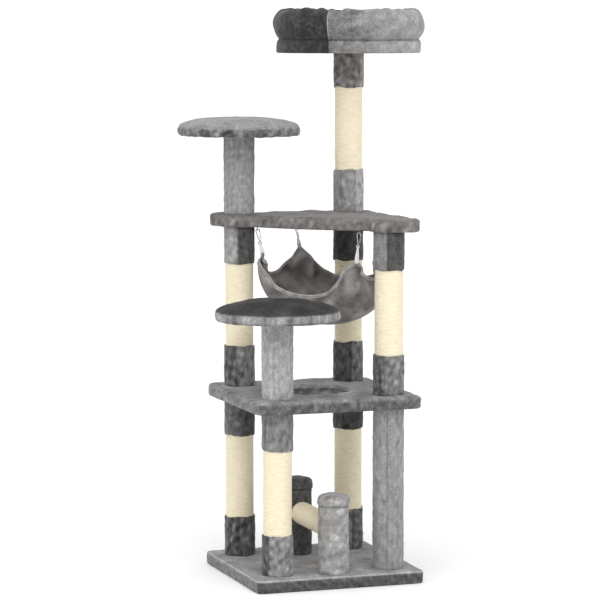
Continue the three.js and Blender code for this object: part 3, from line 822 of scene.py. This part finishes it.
def perch(name, corner, under, crown, seed, nap_of, swell):
    """A padded disc: crowned top, a soft ridge, an upright rim and the plush turned under."""
    columns = 144
    profile = [(70, -0.6), (120, -0.6)] + [(PERCH_RADIUS + r, z) for r, z in RIM_SHAPE]
    for share in LID_SHARES:
        rise = (1 - share ** swell[0]) ** swell[1]
        profile.append((PERCH_RADIUS * share, PERCH_RIM + (crown - PERCH_RIM) * rise - 2))
    points = lathed(profile, columns)
    rim_share = bell(points[:, 2], 12, 12) * (plan_radius(points) > PERCH_RADIUS * 0.9)
    theta = np.arctan2(points[:, 1], points[:, 0])
    gather = np.sin(theta * 46 + 2.2 * np.sin(theta * 5 + seed)) * 0.2
    bulge = rim_share * (1.1 * waves(points, 60, seed) + gather * waves(points, 90, seed + 1))
    points[:, :2] += radial(points) * bulge[:, None]
    soft = 1.0 * waves(points, 110, seed + 2) + 0.4 * waves(points, 30, seed + 3)
    points[:, 2] += soft * (points[:, 2] > 3)
    hem = (points[:, 2] < 3) * (plan_radius(points) > PERCH_RADIUS - 20)
    points[:, 2] -= (0.8 + 0.8 * waves(points, 36, seed + 4)) * hem
    points, faces = capped(points, columns, crown - 1, -0.6)
    return stuffed(f"{name}_plush", corner, under, points, faces, f"{name}_cover",
                   nap_of(points))


def front_perch_nap(p):
    theta = np.arctan2(p[:, 1], p[:, 0])
    on_top = smoothstep(p[:, 2], 24, 27)
    streaks = 0.11 * waves(np.stack([170 * theta, 0 * theta, 0.15 * p[:, 2]], 1), 9, 51)
    # the rim is darker at its foot, where the plush turns under: painted shade
    rim = 0.12 + streaks + 0.12 * waves(p, 60, 52) - 0.3 * (p[:, 2] < 5)
    lid = -0.87 + 0.08 * waves(p, 80, 53) + 0.10 * smoothstep(plan_radius(p), 150, 178)
    return rim * (1 - on_top) + lid * on_top


def left_perch_nap(p):
    on_top = smoothstep(p[:, 2], 16, 28)
    rim = -0.22 + 0.22 * waves(p, 30, 61) + 0.12 * waves(p, 13, 63)
    lid = 0.20 + 0.08 * waves(p, 70, 62)
    return rim * (1 - on_top) + lid * on_top


front_perch = perch("front_perch", "front_left", FRONT_PERCH_UNDER, 62, 501, front_perch_nap,
                    swell=(2.3, 0.8))
front_perch.data.materials.append(LID_PLUSH)
LID_FROM = 25.5  # over the perch's underside
for face in front_perch.data.polygons:
    face.material_index = int(face.center.z > (FRONT_PERCH_UNDER + LID_FROM) * MM)
perch("left_perch", "back_left", LEFT_PERCH_UNDER, 54, 521, left_perch_nap, swell=(2.7, 0.55))

# ---------------- round bed
BED_SEAM = -16  # degrees to the right of the front
BED_DARK, BED_LIGHT = -0.92, -0.16
# the band round the board, as radius and height over its underside
BAND = [(150, -0.6), (192, -0.6), (207, -0.6), (211.5, 0.2), (213.6, 4), (214, 13), (214, 22),
        (213.4, 29), (212.2, 34), (209.5, 37.5)]
BOLSTER_RADIUS, BOLSTER_Z, BOLSTER_HALF_WIDTH, BOLSTER_HALF_HEIGHT = 187.0, 83.5, 37.0, 47.5
GROOVE_Z = 38
INNER_WALL = 153.5  # radius of the cover behind the cushion
CUSHION_RADIUS, CUSHION_TOP, CUSHION_UNDER = 149.0, 62.0, 18.6


def bed_rows(theta):
    """The cover's rings from its hem, over the bolster, to behind the cushion, and their painted
    shading.
    """
    fold = (np.sin(theta * 23 + 1.9 * np.sin(theta * 3 + 0.7) + 1.2 * np.sin(theta * 7 + 2.1))
            + 0.5 * np.sin(theta * 37 + 1.3 * np.sin(theta * 5)))
    lobes = 0.8 * np.sin(theta * 9 + 1.8 * np.sin(theta * 4 + 1.1)) + 0.15 * fold
    rows = [polar(r, theta, z) for r, z in BAND]
    naps = [np.zeros(len(theta))] * len(BAND)
    for a in np.linspace(-0.35 * math.pi, 1.12 * math.pi, 34):
        gather = smoothstep(a, 0.18 * math.pi, 0.62 * math.pi)
        crest = math.exp(-((a - 0.5 * math.pi) / 0.75) ** 2)
        squash = abs(math.cos(a)) ** 0.8 * math.copysign(1, math.cos(a))
        r = BOLSTER_RADIUS + BOLSTER_HALF_WIDTH * squash - gather * 3.0 * (1 - fold) * 0.8
        r = r + 1.0 * np.sin(theta * 9 + 4 * a) * math.cos(a)
        z = BOLSTER_Z + BOLSTER_HALF_HEIGHT * math.sin(a) * (0.97 + 0.02 * lobes)
        z = z + crest * (3.6 * lobes - 3.2) + gather * 1.6 * fold
        rows.append(polar(r, theta, z))
        # lighter on the folds' crests and darker in their troughs: painted shading
        naps.append(gather * fold * 0.16)
    for z in (58.0, 45.0, 31.0, 19.0):  # down behind the cushion to the board
        rows.append(polar(INNER_WALL, theta, z))
        # darker behind the cushion: painted shade
        naps.append(np.full(len(theta), -0.3))
    return rows, naps


def bed_cover():
    """The band round the board, a groove, and a stuffed bolster gathered on its inner side."""
    seam = FRONT + math.radians(BED_SEAM)
    beside = np.radians([-1.2, -0.8, -0.5, -0.25, 0.0, 0.25, 0.5, 0.8, 1.2])
    theta = np.unique(np.concatenate([angles(240), (seam + beside) % TAU]))
    rows, naps = bed_rows(theta)
    points = np.array(rows).reshape(-1, 3)
    points += (0.6 * waves(points, 52, 71))[:, None] * (points * (1, 1, 0) / 200)
    all_theta = np.tile(theta, len(rows))
    off = turned(all_theta, BED_SEAM)
    on_bolster = (points[:, 2] > 40) * (points[:, 2] < 125)
    welt = bell(off, 0, math.radians(0.4)) * on_bolster
    dip = bell(off, math.radians(2.0), math.radians(1.2))
    points[:, :2] += radial(points) * (1.3 * welt - 0.7 * dip)[:, None]
    # lighter round to the right of the seam, up to 55 degrees and none past 120: painted light
    lighter = 0.40 * smoothstep(off, 0, math.radians(55)) * (off < math.radians(120))
    nap = np.where(seam_side(all_theta, BED_SEAM) < 0, BED_DARK, BED_LIGHT + lighter)
    nap = nap + np.concatenate(naps) + (0.08 * waves(points, 60, 72) + 0.05 * waves(points, 24, 73))
    nap = nap * (1 - welt) + 0.45 * welt
    # darker in the groove between the band and the bolster: painted shade
    nap -= 0.6 * bell(points[:, 2], GROOVE_Z, 2.6) * (plan_radius(points) > 190)
    stuffed("bed_plush", "back_right", BED_UNDER, points, grid_faces(len(rows), len(theta)),
            "bed_cover", nap)


def bed_cushion():
    columns, top, under = 144, CUSHION_TOP, CUSHION_UNDER
    profile = [(20, under), (90, under), (132, under + 0.5), (144, under + 4), (149, under + 12),
               (149.5, under + 20), (146.5, under + 29), (139, top - 8)]
    for share in (0.88, 0.82, 0.75, 0.66, 0.56, 0.45, 0.34, 0.22, 0.10):
        dimple = 5 * math.exp(-(share / 0.09) ** 2)
        profile.append((CUSHION_RADIUS * share, top - 6 * share ** 3 - dimple))
    points = lathed(profile, columns)
    theta = np.tile(angles(columns), len(profile))
    pleat = np.sin(theta * 34 + 1.4 * np.sin(theta * 5))
    points[:, 2] += bell(plan_radius(points), 143, 8) * pleat * 0.9 * (points[:, 2] > 30)
    points[:, 2] += (1.4 * waves(points, 90, 81) + 0.5 * waves(points, 33, 82)) * (points[:, 2] > 40)
    points, faces = capped(points, columns, top - 6, under)
    stuffed("bed_cushion_plush", "back_right", BED_UNDER, points, faces, "bed_cushion",
            0.1 + 0.2 * waves(points, 60, 83))


bed_cover()
bed_cushion()

# ---------------- roller
ROLLER_X, ROLLER_FRONT, ROLLER_BACK = -6.0, -194.0, 128.0
POST_RADIUS, CAP_RADIUS, BODY_TOP, CAP_TOP = 44.5, 47.5, 234.0, 266.0
BAR_RADIUS, BAR_Z, AXLE_RADIUS = 33.0, 164.0, 6.0
# the cap from its hem up, as radius past CAP_RADIUS and height over BODY_TOP
CAP_SHAPE = [(-1.4, -0.8), (-0.2, 1.6), (0, 6), (-0.4, 11), (-1.0, 16), (-2.6, 21), (-6, 25.5),
             (-11, 28.4), (-18, 30), (-28, 31), (-38, 31.5)]


def roller_post(name, y, seed, nap, mottle=0.10):
    """A short post and the plush cap pulled over its top, one skin with a fold between them."""
    columns = 96
    profile = [(40, BASE_TOP - 1), (POST_RADIUS - 1.5, BASE_TOP - 1), (POST_RADIUS - 0.4, BASE_TOP + 3)]
    profile += [(POST_RADIUS - 0.4, z) for z in np.arange(BASE_TOP + 8, BODY_TOP - 4, 5)]
    profile += [(POST_RADIUS - 0.8, BODY_TOP - 3), (POST_RADIUS - 0.6, BODY_TOP - 0.4)]
    profile += [(CAP_RADIUS + r, BODY_TOP + z) for r, z in CAP_SHAPE]
    points = lathed(profile, columns)
    theta = np.tile(angles(columns), len(profile))
    cap = smoothstep(points[:, 2], BODY_TOP - 1, BODY_TOP + 1)
    crease = np.sin(theta * 19 + 1.7 * np.sin(theta * 4 + seed))
    skin = 0.45 * waves(points, 55, seed) + 0.3 * waves(points, 18, seed + 1)
    skin += cap * 0.7 * crease * bell(points[:, 2], BODY_TOP + 24, 9)
    skin -= 1.0 * near_angle(theta, -38, 2.5) * (1 - cap)
    points[:, :2] += np.stack([np.cos(theta), np.sin(theta)], 1) * skin[:, None]
    hem = bell(points[:, 2], BODY_TOP, 4)
    points[:, 2] += hem * (1.6 * waves(points * (1, 1, 0), 60, seed + 2) - 0.6)
    points[:, 2] += cap * 0.8 * waves(points, 34, seed + 3)
    points, faces = capped(points, columns, CAP_TOP - 0.4)
    # a dark line just under the cap's hem: painted shade
    shade = nap + mottle * waves(points, 28, seed + 4) - 0.5 * bell(points[:, 2], BODY_TOP - 1.5, 2.2)
    return add_piece(f"{name}_plush", (points + (ROLLER_X, y, 0)) * MM, faces, PLUSH, "frame",
                     "plush", replaces=[name], nap=shade)


def roller_bar():
    """Rope wound on a bar along Y, with its ends closed down to the axle."""
    front, back = ROLLER_FRONT + POST_RADIUS + 2, ROLLER_BACK - POST_RADIUS - 2
    points, faces, uv, groove = winding(back - front, BAR_RADIUS, front, 641)
    points = np.stack([ROLLER_X - points[:, 0], points[:, 2], BAR_Z + points[:, 1]], 1)
    bar = add_piece("roller_sisal", points * MM, faces, SISAL, "roller", "sisal", uv=uv,
                    replaces=["roller_bar"], groove=groove)
    cut_ends(bar, (front + 0.2) * MM, (back - 0.2) * MM, (0, 1, 0),
             (ROLLER_X * MM, 0, BAR_Z * MM), AXLE_RADIUS * MM)


roller_post("roller_front_post", ROLLER_FRONT, 601, nap=0.28)
roller_post("roller_back_post", ROLLER_BACK, 621, nap=-0.58)
roller_bar()

# ---------------- hooks and eyes
EYE_GAP, EYE_RING, EYE_WIRE, EYE_SHANK = 0.3, 5.0, 1.4, 14.0
HOOK_WIRE, HOOK_HALF, EYELET, HOOK_LENGTH = 1.5, 5.0, 4.5, 41.5
HOOK_SHOULDER, HOOK_NOSE, HOOK_JOINT = -9.0, -13.0, -35.0
STRAP_BEND = -(HOOK_LENGTH + EYELET - HOOK_WIRE - 0.6 - 2.4)
PLAY = 0.8  # between a hook and the eye it hangs on
RING_Z = TOP[0] - EYE_GAP - EYE_RING - EYE_WIRE
HOOK_TOP_Z = RING_Z - EYE_RING + EYE_WIRE + HOOK_WIRE + PLAY
# plan place of the eye, slope towards the hammock's middle, turn of the hook, length of the strap
HANGERS = {
    "left": ((-126, 136), (0.186, -0.097), -19, 24),
    "back": ((16, 200), (0.07, -0.35), 40, 19),
    "front": ((109, -91), (-0.049, 0.107), -19, 41),
    "right": ((210, -60), (-0.177, 0.114), -19, 24),
}


def hanger_frame(at, lean, turn):
    """Axes of a hanger as columns (across, side, up) and its origin, where it bears on the eye."""
    up = Vector((-lean[0], -lean[1], 1)).normalized()
    across = Vector((math.cos(math.radians(turn)), math.sin(math.radians(turn)), 0))
    side = up.cross(across).normalized()
    across = side.cross(up)
    axes = Matrix((across, side, up)).transposed().to_4x4()
    return Matrix.Translation((*at, HOOK_TOP_Z)) @ axes


def placed(points, matrix):
    return np.array([matrix @ Vector(p) for p in points])


def wire_piece(name, node, body, matrix, *wires):
    """Wires of steel as one piece: each a path, its radius and whether it is a closed ring."""
    vertices, faces = np.empty((0, 3)), []
    for path, radius, closed in wires:
        more, more_faces = swept(placed(path, matrix), circle(radius),
                                 matrix.to_3x3() @ Vector((0, 1, 0)), closed)
        faces += [tuple(len(vertices) + i for i in face) for face in more_faces]
        vertices = np.vstack([vertices, more])
    add_piece(name, vertices * MM, faces, STEEL, body, "steel", replaces=[node])


def ring_path(radius, centre, x=0, y=0):
    """An upright circle round a point on the hanger's axis, spread along x or y."""
    turns = [TAU * i / 36 for i in range(36)]
    return [(x * radius * math.cos(a), y * radius * math.cos(a), centre + radius * math.sin(a))
            for a in turns]


def hanger(side, at, lean, turn):
    """A snap hook, its gate and its screw eye; returns where the hook hangs."""
    matrix = hanger_frame(at, lean, turn)
    drop = -HOOK_HALF * 0.3 * 1.6
    bow = spline([
        (0, 0, HOOK_JOINT), (-HOOK_HALF * 0.45, 0, HOOK_JOINT * 0.72),
        (-HOOK_HALF, 0, HOOK_SHOULDER), (-HOOK_HALF * 0.85, 0, drop), (0, 0, 0),
        (HOOK_HALF * 0.85, 0, drop), (HOOK_HALF, 0, HOOK_SHOULDER), (HOOK_HALF * 0.98, 0, HOOK_NOSE),
    ], 60)
    neck = spline([(0, 0, HOOK_JOINT + 1), (0, 0, -HOOK_LENGTH + EYELET - 0.8)], 6)
    collar = spline([(0, 0, HOOK_JOINT + 1.5), (0, 0, HOOK_JOINT - 1.5)], 4)
    wire_piece(f"{side}_hook_wire", f"{side}_snap_hook", f"{side}_hook", matrix,
               (bow, HOOK_WIRE, False), (ring_path(EYELET, -HOOK_LENGTH, x=1), HOOK_WIRE, True),
               (neck, HOOK_WIRE * 0.95, False), (collar, HOOK_WIRE * 1.35, False))
    top = np.array([HOOK_HALF * 0.97, 0, HOOK_NOSE - 2.4])
    foot = np.array([HOOK_HALF * 0.3 + HOOK_WIRE + 1.2, 0, HOOK_JOINT + 2.5])
    gate = spline([foot, (top + foot) / 2 + (0.3, 0, 0), top], 14)
    wire_piece(f"{side}_gate_wire", f"{side}_hook_gate", f"{side}_gate", matrix,
               (gate, HOOK_WIRE * 0.8, False))
    stand = Matrix.Translation((*at, RING_Z)) @ Matrix.Rotation(math.radians(turn), 4, "Z")
    shank = spline([(0, 0, EYE_RING), (0, 0, TOP[0] - RING_Z + EYE_SHANK)], 4)
    thread = [(1.5 * math.cos(a), 1.5 * math.sin(a), EYE_RING + 2.2 + a / TAU * 1.8)
              for a in np.linspace(0, TAU * 9, 100)]
    wire_piece(f"{side}_eye_wire", f"{side}_screw_eye", "frame", stand,
               (ring_path(EYE_RING, 0, y=1), EYE_WIRE, True), (shank, 1.5, False),
               (thread, 0.35, False))
    return matrix


# ---------------- hammock
CUT = (500.0, 330.0)  # the cloth before it is hung, along its long and short edges
RIM_SHARE = {"near": 0.77, "far": 0.70, "left": 0.68, "right": 0.49}  # gathered in the binding
# cells that the stiff patch at each corner covers along its long and short edge
PATCH = {"left": (1, 1), "front": (6, 6), "back": (6, 6), "right": (5, 3)}
# how steeply the long and the short edge leave each strap
SLOPES = {"left": (2.0, 1.0), "front": (0.78, 1.15), "back": (0.7, 1.17), "right": (0.8, 1.3)}
FALL = 0.136  # of the cloth in one step; small, so that the cloth hardly stretches
FULLNESS = 10.0  # how much harder than its weight the stiff cloth is pushed out
SHEAR, BEND = 0.15, 0.3
STEPS, PASSES = 240, 14
THICKNESS = 2.6
COLUMNS, ROWS = 45, 35  # of the cloth's grid
ALONG, ACROSS = CUT[0] / (COLUMNS - 1), CUT[1] / (ROWS - 1)  # sides of one of its cells
# how far the start shape sags at its long and short edges and in its middle, and bulges sideways
SAG_LONG, SAG_SHORT, SAG_MIDDLE, BULGE = 115.0, 105.0, 196.0, 22.0


def hung_point(corners, u, v):
    near = corners["left"].lerp(corners["front"], (u + 1) / 2)
    far = corners["back"].lerp(corners["right"], (u + 1) / 2)
    at = near.lerp(far, (v + 1) / 2)
    along = corners["front"] - corners["left"]
    along.z = 0
    slack_long, slack_short = 1 - u * u, 1 - v * v
    at.z -= SAG_LONG * slack_long + SAG_SHORT * slack_short
    at.z -= (SAG_MIDDLE - SAG_LONG - SAG_SHORT) * slack_long * slack_short
    return at + along.normalized() * BULGE * u * slack_short


def cell_normals(cloth):
    """Normals of a grid of places, pointing out of the hanging pouch."""
    normals = np.cross(np.gradient(cloth, axis=0), np.gradient(cloth, axis=1))
    return normals / np.maximum(np.linalg.norm(normals, axis=2), 1e-9)[..., None]


def links(di, dj, rest):
    """Pairs of vertices (di, dj) cells apart, in two sets that share no vertex."""
    j, i = np.meshgrid(np.arange(ROWS - dj), np.arange(COLUMNS - abs(di)), indexing="ij")
    i = i + max(-di, 0)
    lengths = np.full(j.shape, float(rest))
    if (di, dj) == (1, 0):
        lengths[0] *= RIM_SHARE["near"]
        lengths[-1] *= RIM_SHARE["far"]
    if (di, dj) == (0, 1):
        lengths[:, 0] *= RIM_SHARE["left"]
        lengths[:, -1] *= RIM_SHARE["right"]
    turn = (j // dj) % 2 if dj else (i // di) % 2
    first, second = j * COLUMNS + i, (j + dj) * COLUMNS + i + di
    return [(first[turn == k], second[turn == k], lengths[turn == k][:, None]) for k in (0, 1)]


def tethers():
    """For each bound edge, from each end: its vertices and their farthest reach from that end."""
    index = np.arange(ROWS * COLUMNS).reshape(ROWS, COLUMNS)
    edges = [(index[0], ALONG * RIM_SHARE["near"]), (index[-1], ALONG * RIM_SHARE["far"]),
             (index[:, 0], ACROSS * RIM_SHARE["left"]), (index[:, -1], ACROSS * RIM_SHARE["right"])]
    return [(line[1:], line[0], step * np.arange(1, len(line))[:, None])
            for edge, step in edges for line in (edge, edge[::-1])]


def pull(places, loose, first, second, rest, stiffness):
    """Moves linked pairs towards their length; a negative stiffness only resists folding."""
    gap = places[second] - places[first]
    length = np.linalg.norm(gap, axis=1)[:, None]
    free = loose[first] + loose[second]
    move = abs(stiffness) * (length - rest) / length / np.maximum(free, 1) * gap
    if stiffness < 0:
        move *= length < rest
    places[first] += loose[first] * move
    places[second] -= loose[second] * move


def draped(cloth, loose):
    """Cloth simulation: a grid cut to a flat size, held at its four corners, settles under its
    weight, pushed out by the stiffness of its pile."""
    diagonal = math.hypot(ALONG, ACROSS)
    loose = loose.reshape(-1, 1)
    sets = []
    for di, dj, rest, stiffness in (
        (1, 0, ALONG, 1.0), (0, 1, ACROSS, 1.0), (1, 1, diagonal, SHEAR), (-1, 1, diagonal, SHEAR),
        (2, 0, 2 * ALONG, -BEND), (0, 2, 2 * ACROSS, -BEND),
    ):
        sets += [(*pair, stiffness) for pair in links(di, dj, rest)]
    bound = tethers()
    places = cloth.reshape(-1, 3).copy()
    before = places.copy()
    row, column = (np.minimum(k, k.max() - k) for k in np.indices((ROWS, COLUMNS)))
    from_edge = np.minimum(row, column).reshape(-1, 1)
    puffed = FULLNESS * smoothstep(from_edge, -1, 5)  # the bound edges stay slack
    for _ in range(STEPS):
        speed = (places - before) * 0.97
        before = places.copy()
        push = cell_normals(places.reshape(cloth.shape)).reshape(-1, 3) * FALL * puffed
        places = places + loose * (speed + push + (0, 0, -FALL))
        for _ in range(PASSES):
            for linked in sets:
                pull(places, loose, *linked)
            for line, end, reach in bound:
                gap = places[line] - places[end]
                length = np.linalg.norm(gap, axis=1)[:, None]
                places[line] -= loose[line] * gap * np.maximum(1 - reach / length, 0)
    return places.reshape(cloth.shape)


def hold_corners(cloth, corners):
    """Puts each corner on its strap: a flat patch that runs down along both its edges.
    Returns a grid of ones, with noughts where the cloth is held."""
    loose = np.ones((ROWS, COLUMNS))
    for far, right, side, along, across in (
        (0, 0, "left", "front", "back"), (0, 1, "front", "left", "right"),
        (1, 0, "back", "right", "left"), (1, 1, "right", "back", "front"),
    ):
        tip = np.array(corners[side])
        ways = []
        for other, slope in zip((along, across), SLOPES[side]):
            way = np.array(corners[other]) - tip
            way[2] = -slope * np.linalg.norm(way[:2])
            ways.append(way / np.linalg.norm(way))
        ways[0] *= ALONG * RIM_SHARE["far" if far else "near"]
        ways[1] *= ACROSS * RIM_SHARE["right" if right else "left"]
        long_cells, short_cells = PATCH[side]
        for b in range(short_cells + 1):
            for a in range(int(long_cells * (1 - b / short_cells)) + 1):
                place = (ROWS - 1 - b if far else b, COLUMNS - 1 - a if right else a)
                cloth[place] = tip + ways[0] * a + ways[1] * b
                loose[place] = 0
    return loose


def hammock():
    corners, frames = {}, {}
    for side, (at, lean, turn, length) in HANGERS.items():
        frames[side] = hanger(side, at, lean, turn)
        corners[side] = frames[side] @ Vector((0, 0, STRAP_BEND - length))
    start = np.array([[hung_point(corners, 2 * i / (COLUMNS - 1) - 1, 2 * j / (ROWS - 1) - 1)
                       for i in range(COLUMNS)] for j in range(ROWS)])
    start += np.random.RandomState(5).normal(size=start.shape) * 0.2
    grid = draped(start, hold_corners(start, corners)) * MM
    places = grid.reshape(-1, 3)
    nap = -0.1 + 0.3 * waves(places / MM, 60, 91) + 0.14 * waves(places / MM, 26, 92)
    made = add_piece("hammock_suede", places, grid_faces(ROWS, COLUMNS, closed=False), POUCH_INSIDE,
                     "hammock_cloth", "suede", replaces=["hammock"], nap=nap)
    made.data.materials.append(SUEDE)
    skin = made.modifiers.new("thickness", "SOLIDIFY")
    skin.thickness = THICKNESS * MM
    skin.offset = 0
    # the outer shell gets the suede; the first material, painted for the light inside the pouch, stays
    # inside
    skin.material_offset = 1
    smooth = made.modifiers.new("smooth", "SUBSURF")
    smooth.levels = 1
    smooth.render_levels = 1
    return made, grid, frames


# the binding's upper half across the edge: how far in from it, and how high
BINDING_HALF = [(9.5, 1.0), (8.4, 2.3), (6.6, 3.0), (4.9, 2.2), (3.2, 2.4), (1.0, 3.1), (-1.0, 2.7),
                (-2.3, 1.3)]


def hammock_binding(grid):
    """A rolled tape over the cloth's four edges, with two soft ridges."""
    border = [(0, i) for i in range(COLUMNS - 1)]
    border += [(j, COLUMNS - 1) for j in range(ROWS - 1)]
    border += [(ROWS - 1, i) for i in range(COLUMNS - 1, 0, -1)]
    border += [(j, 0) for j in range(ROWS - 1, 0, -1)]
    edge = np.array([grid[place] for place in border])
    inner = np.array([grid[min(max(j, 1), ROWS - 2), min(max(i, 1), COLUMNS - 2)]
                      for j, i in border])
    tangents = loop_tangents(edge)
    inward = inner - edge
    inward = normed(inward - tangents * (inward * tangents).sum(1)[:, None])
    normal = np.cross(tangents, inward)
    section = BINDING_HALF + [(-2.6, 0)] + [(s, -h) for s, h in BINDING_HALF[::-1]]
    points = np.stack([edge + inward * s * MM + normal * h * MM for s, h in section], 1)
    count, around = len(edge), len(section)
    points = points.reshape(-1, 3)
    # lighter on the two ridges and darker between and beside them: painted highlights and shade
    ridge = np.tile([0.4 if abs(h) > 2.6 else -0.3 for _, h in section], count)
    nap = ridge + 0.2 * waves(points / MM, 30, 95)
    return add_piece("hammock_binding", points, grid_faces(count, around) + looped(count, around),
                     BINDING, "hammock_cloth", "suede", nap=nap)


def strap(side, matrix, length):
    """White webbing from a corner of the cloth through the hook's eyelet and back."""
    spread = 3.6
    half = [(-spread * 0.5, STRAP_BEND - length - 9), (-spread, STRAP_BEND - length * 0.6),
            (-spread * 0.9, STRAP_BEND - 5), (-spread * 0.65, STRAP_BEND - 1.4)]
    path = spline([(0, y, z) for y, z in half] + [(0, 0, STRAP_BEND)]
                  + [(0, -y, z) for y, z in half[::-1]], 40)
    widths = 1 + 1.2 * smoothstep(STRAP_BEND - 3 - path[:, 2], 0, length - 4)
    section = [(-2.8, -0.35), (-2.4, -0.6), (2.4, -0.6), (2.8, -0.35),
               (2.8, 0.35), (2.4, 0.6), (-2.4, 0.6), (-2.8, 0.35)]
    up = matrix.to_3x3() @ Vector((0, -1, 0))
    vertices, faces = swept(placed(path, matrix), section, up, widths=widths)
    return add_piece(f"{side}_strap", vertices * MM, faces, WEBBING, "hammock_cloth", "webbing")


cloth, grid, frames = hammock()
pieces = [hammock_binding(grid)]
for side, (at, lean, turn, length) in HANGERS.items():
    pieces.append(strap(side, frames[side], length))

# ---------------- CAD nodes that stay
for name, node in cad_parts.items():
    if name.endswith("_board"):
        finish = CHIPBOARD
    elif name.endswith("_bolt") or name == "roller_axle":
        finish = STEEL
    else:
        continue
    node.data.materials.clear()
    node.data.materials.append(finish)

# ---------------- floor and sky
REACH, FLOOR_Z = 60.0, -0.0012
SKY = ((0.30, (1.0, 1.0, 1.0, 1)), (0.80, (0.72, 0.72, 0.73, 1)))  # its colour by height


def lay_floor():
    mesh = bpy.data.meshes.new("floor")
    corners = [(x * REACH, y * REACH, FLOOR_Z) for x, y in ((-1, -1), (1, -1), (1, 1), (-1, 1))]
    mesh.from_pydata(corners, [], [(0, 1, 2, 3)])
    floor = bpy.data.objects.new("floor", mesh)
    SCENE.collection.objects.link(floor)
    look = Shader("floor", roughness=0.9, specular=0.1)
    set_inputs(look.surface, {"Base Color": (0.92, 0.92, 0.92, 1)})
    mesh.materials.append(look.material)


def light_sky():
    """A studio sky, white near the horizon and a little darker overhead."""
    world = bpy.data.worlds.new("studio")
    world.use_nodes = True
    SCENE.world = world
    sky = world.node_tree
    background = next(n for n in sky.nodes if n.type == "BACKGROUND")
    direction = sky.nodes.new("ShaderNodeTexCoord")
    split = sky.nodes.new("ShaderNodeSeparateXYZ")
    tone = sky.nodes.new("ShaderNodeValToRGB")
    for stop, (position, colour) in zip(tone.color_ramp.elements, SKY):
        stop.position = position
        stop.color = colour
    sky.links.new(direction.outputs["Generated"], split.inputs[0])
    sky.links.new(split.outputs["Z"], tone.inputs["Fac"])
    sky.links.new(tone.outputs["Color"], background.inputs["Color"])
    background.inputs["Strength"].default_value = 1.10


lay_floor()
light_sky()
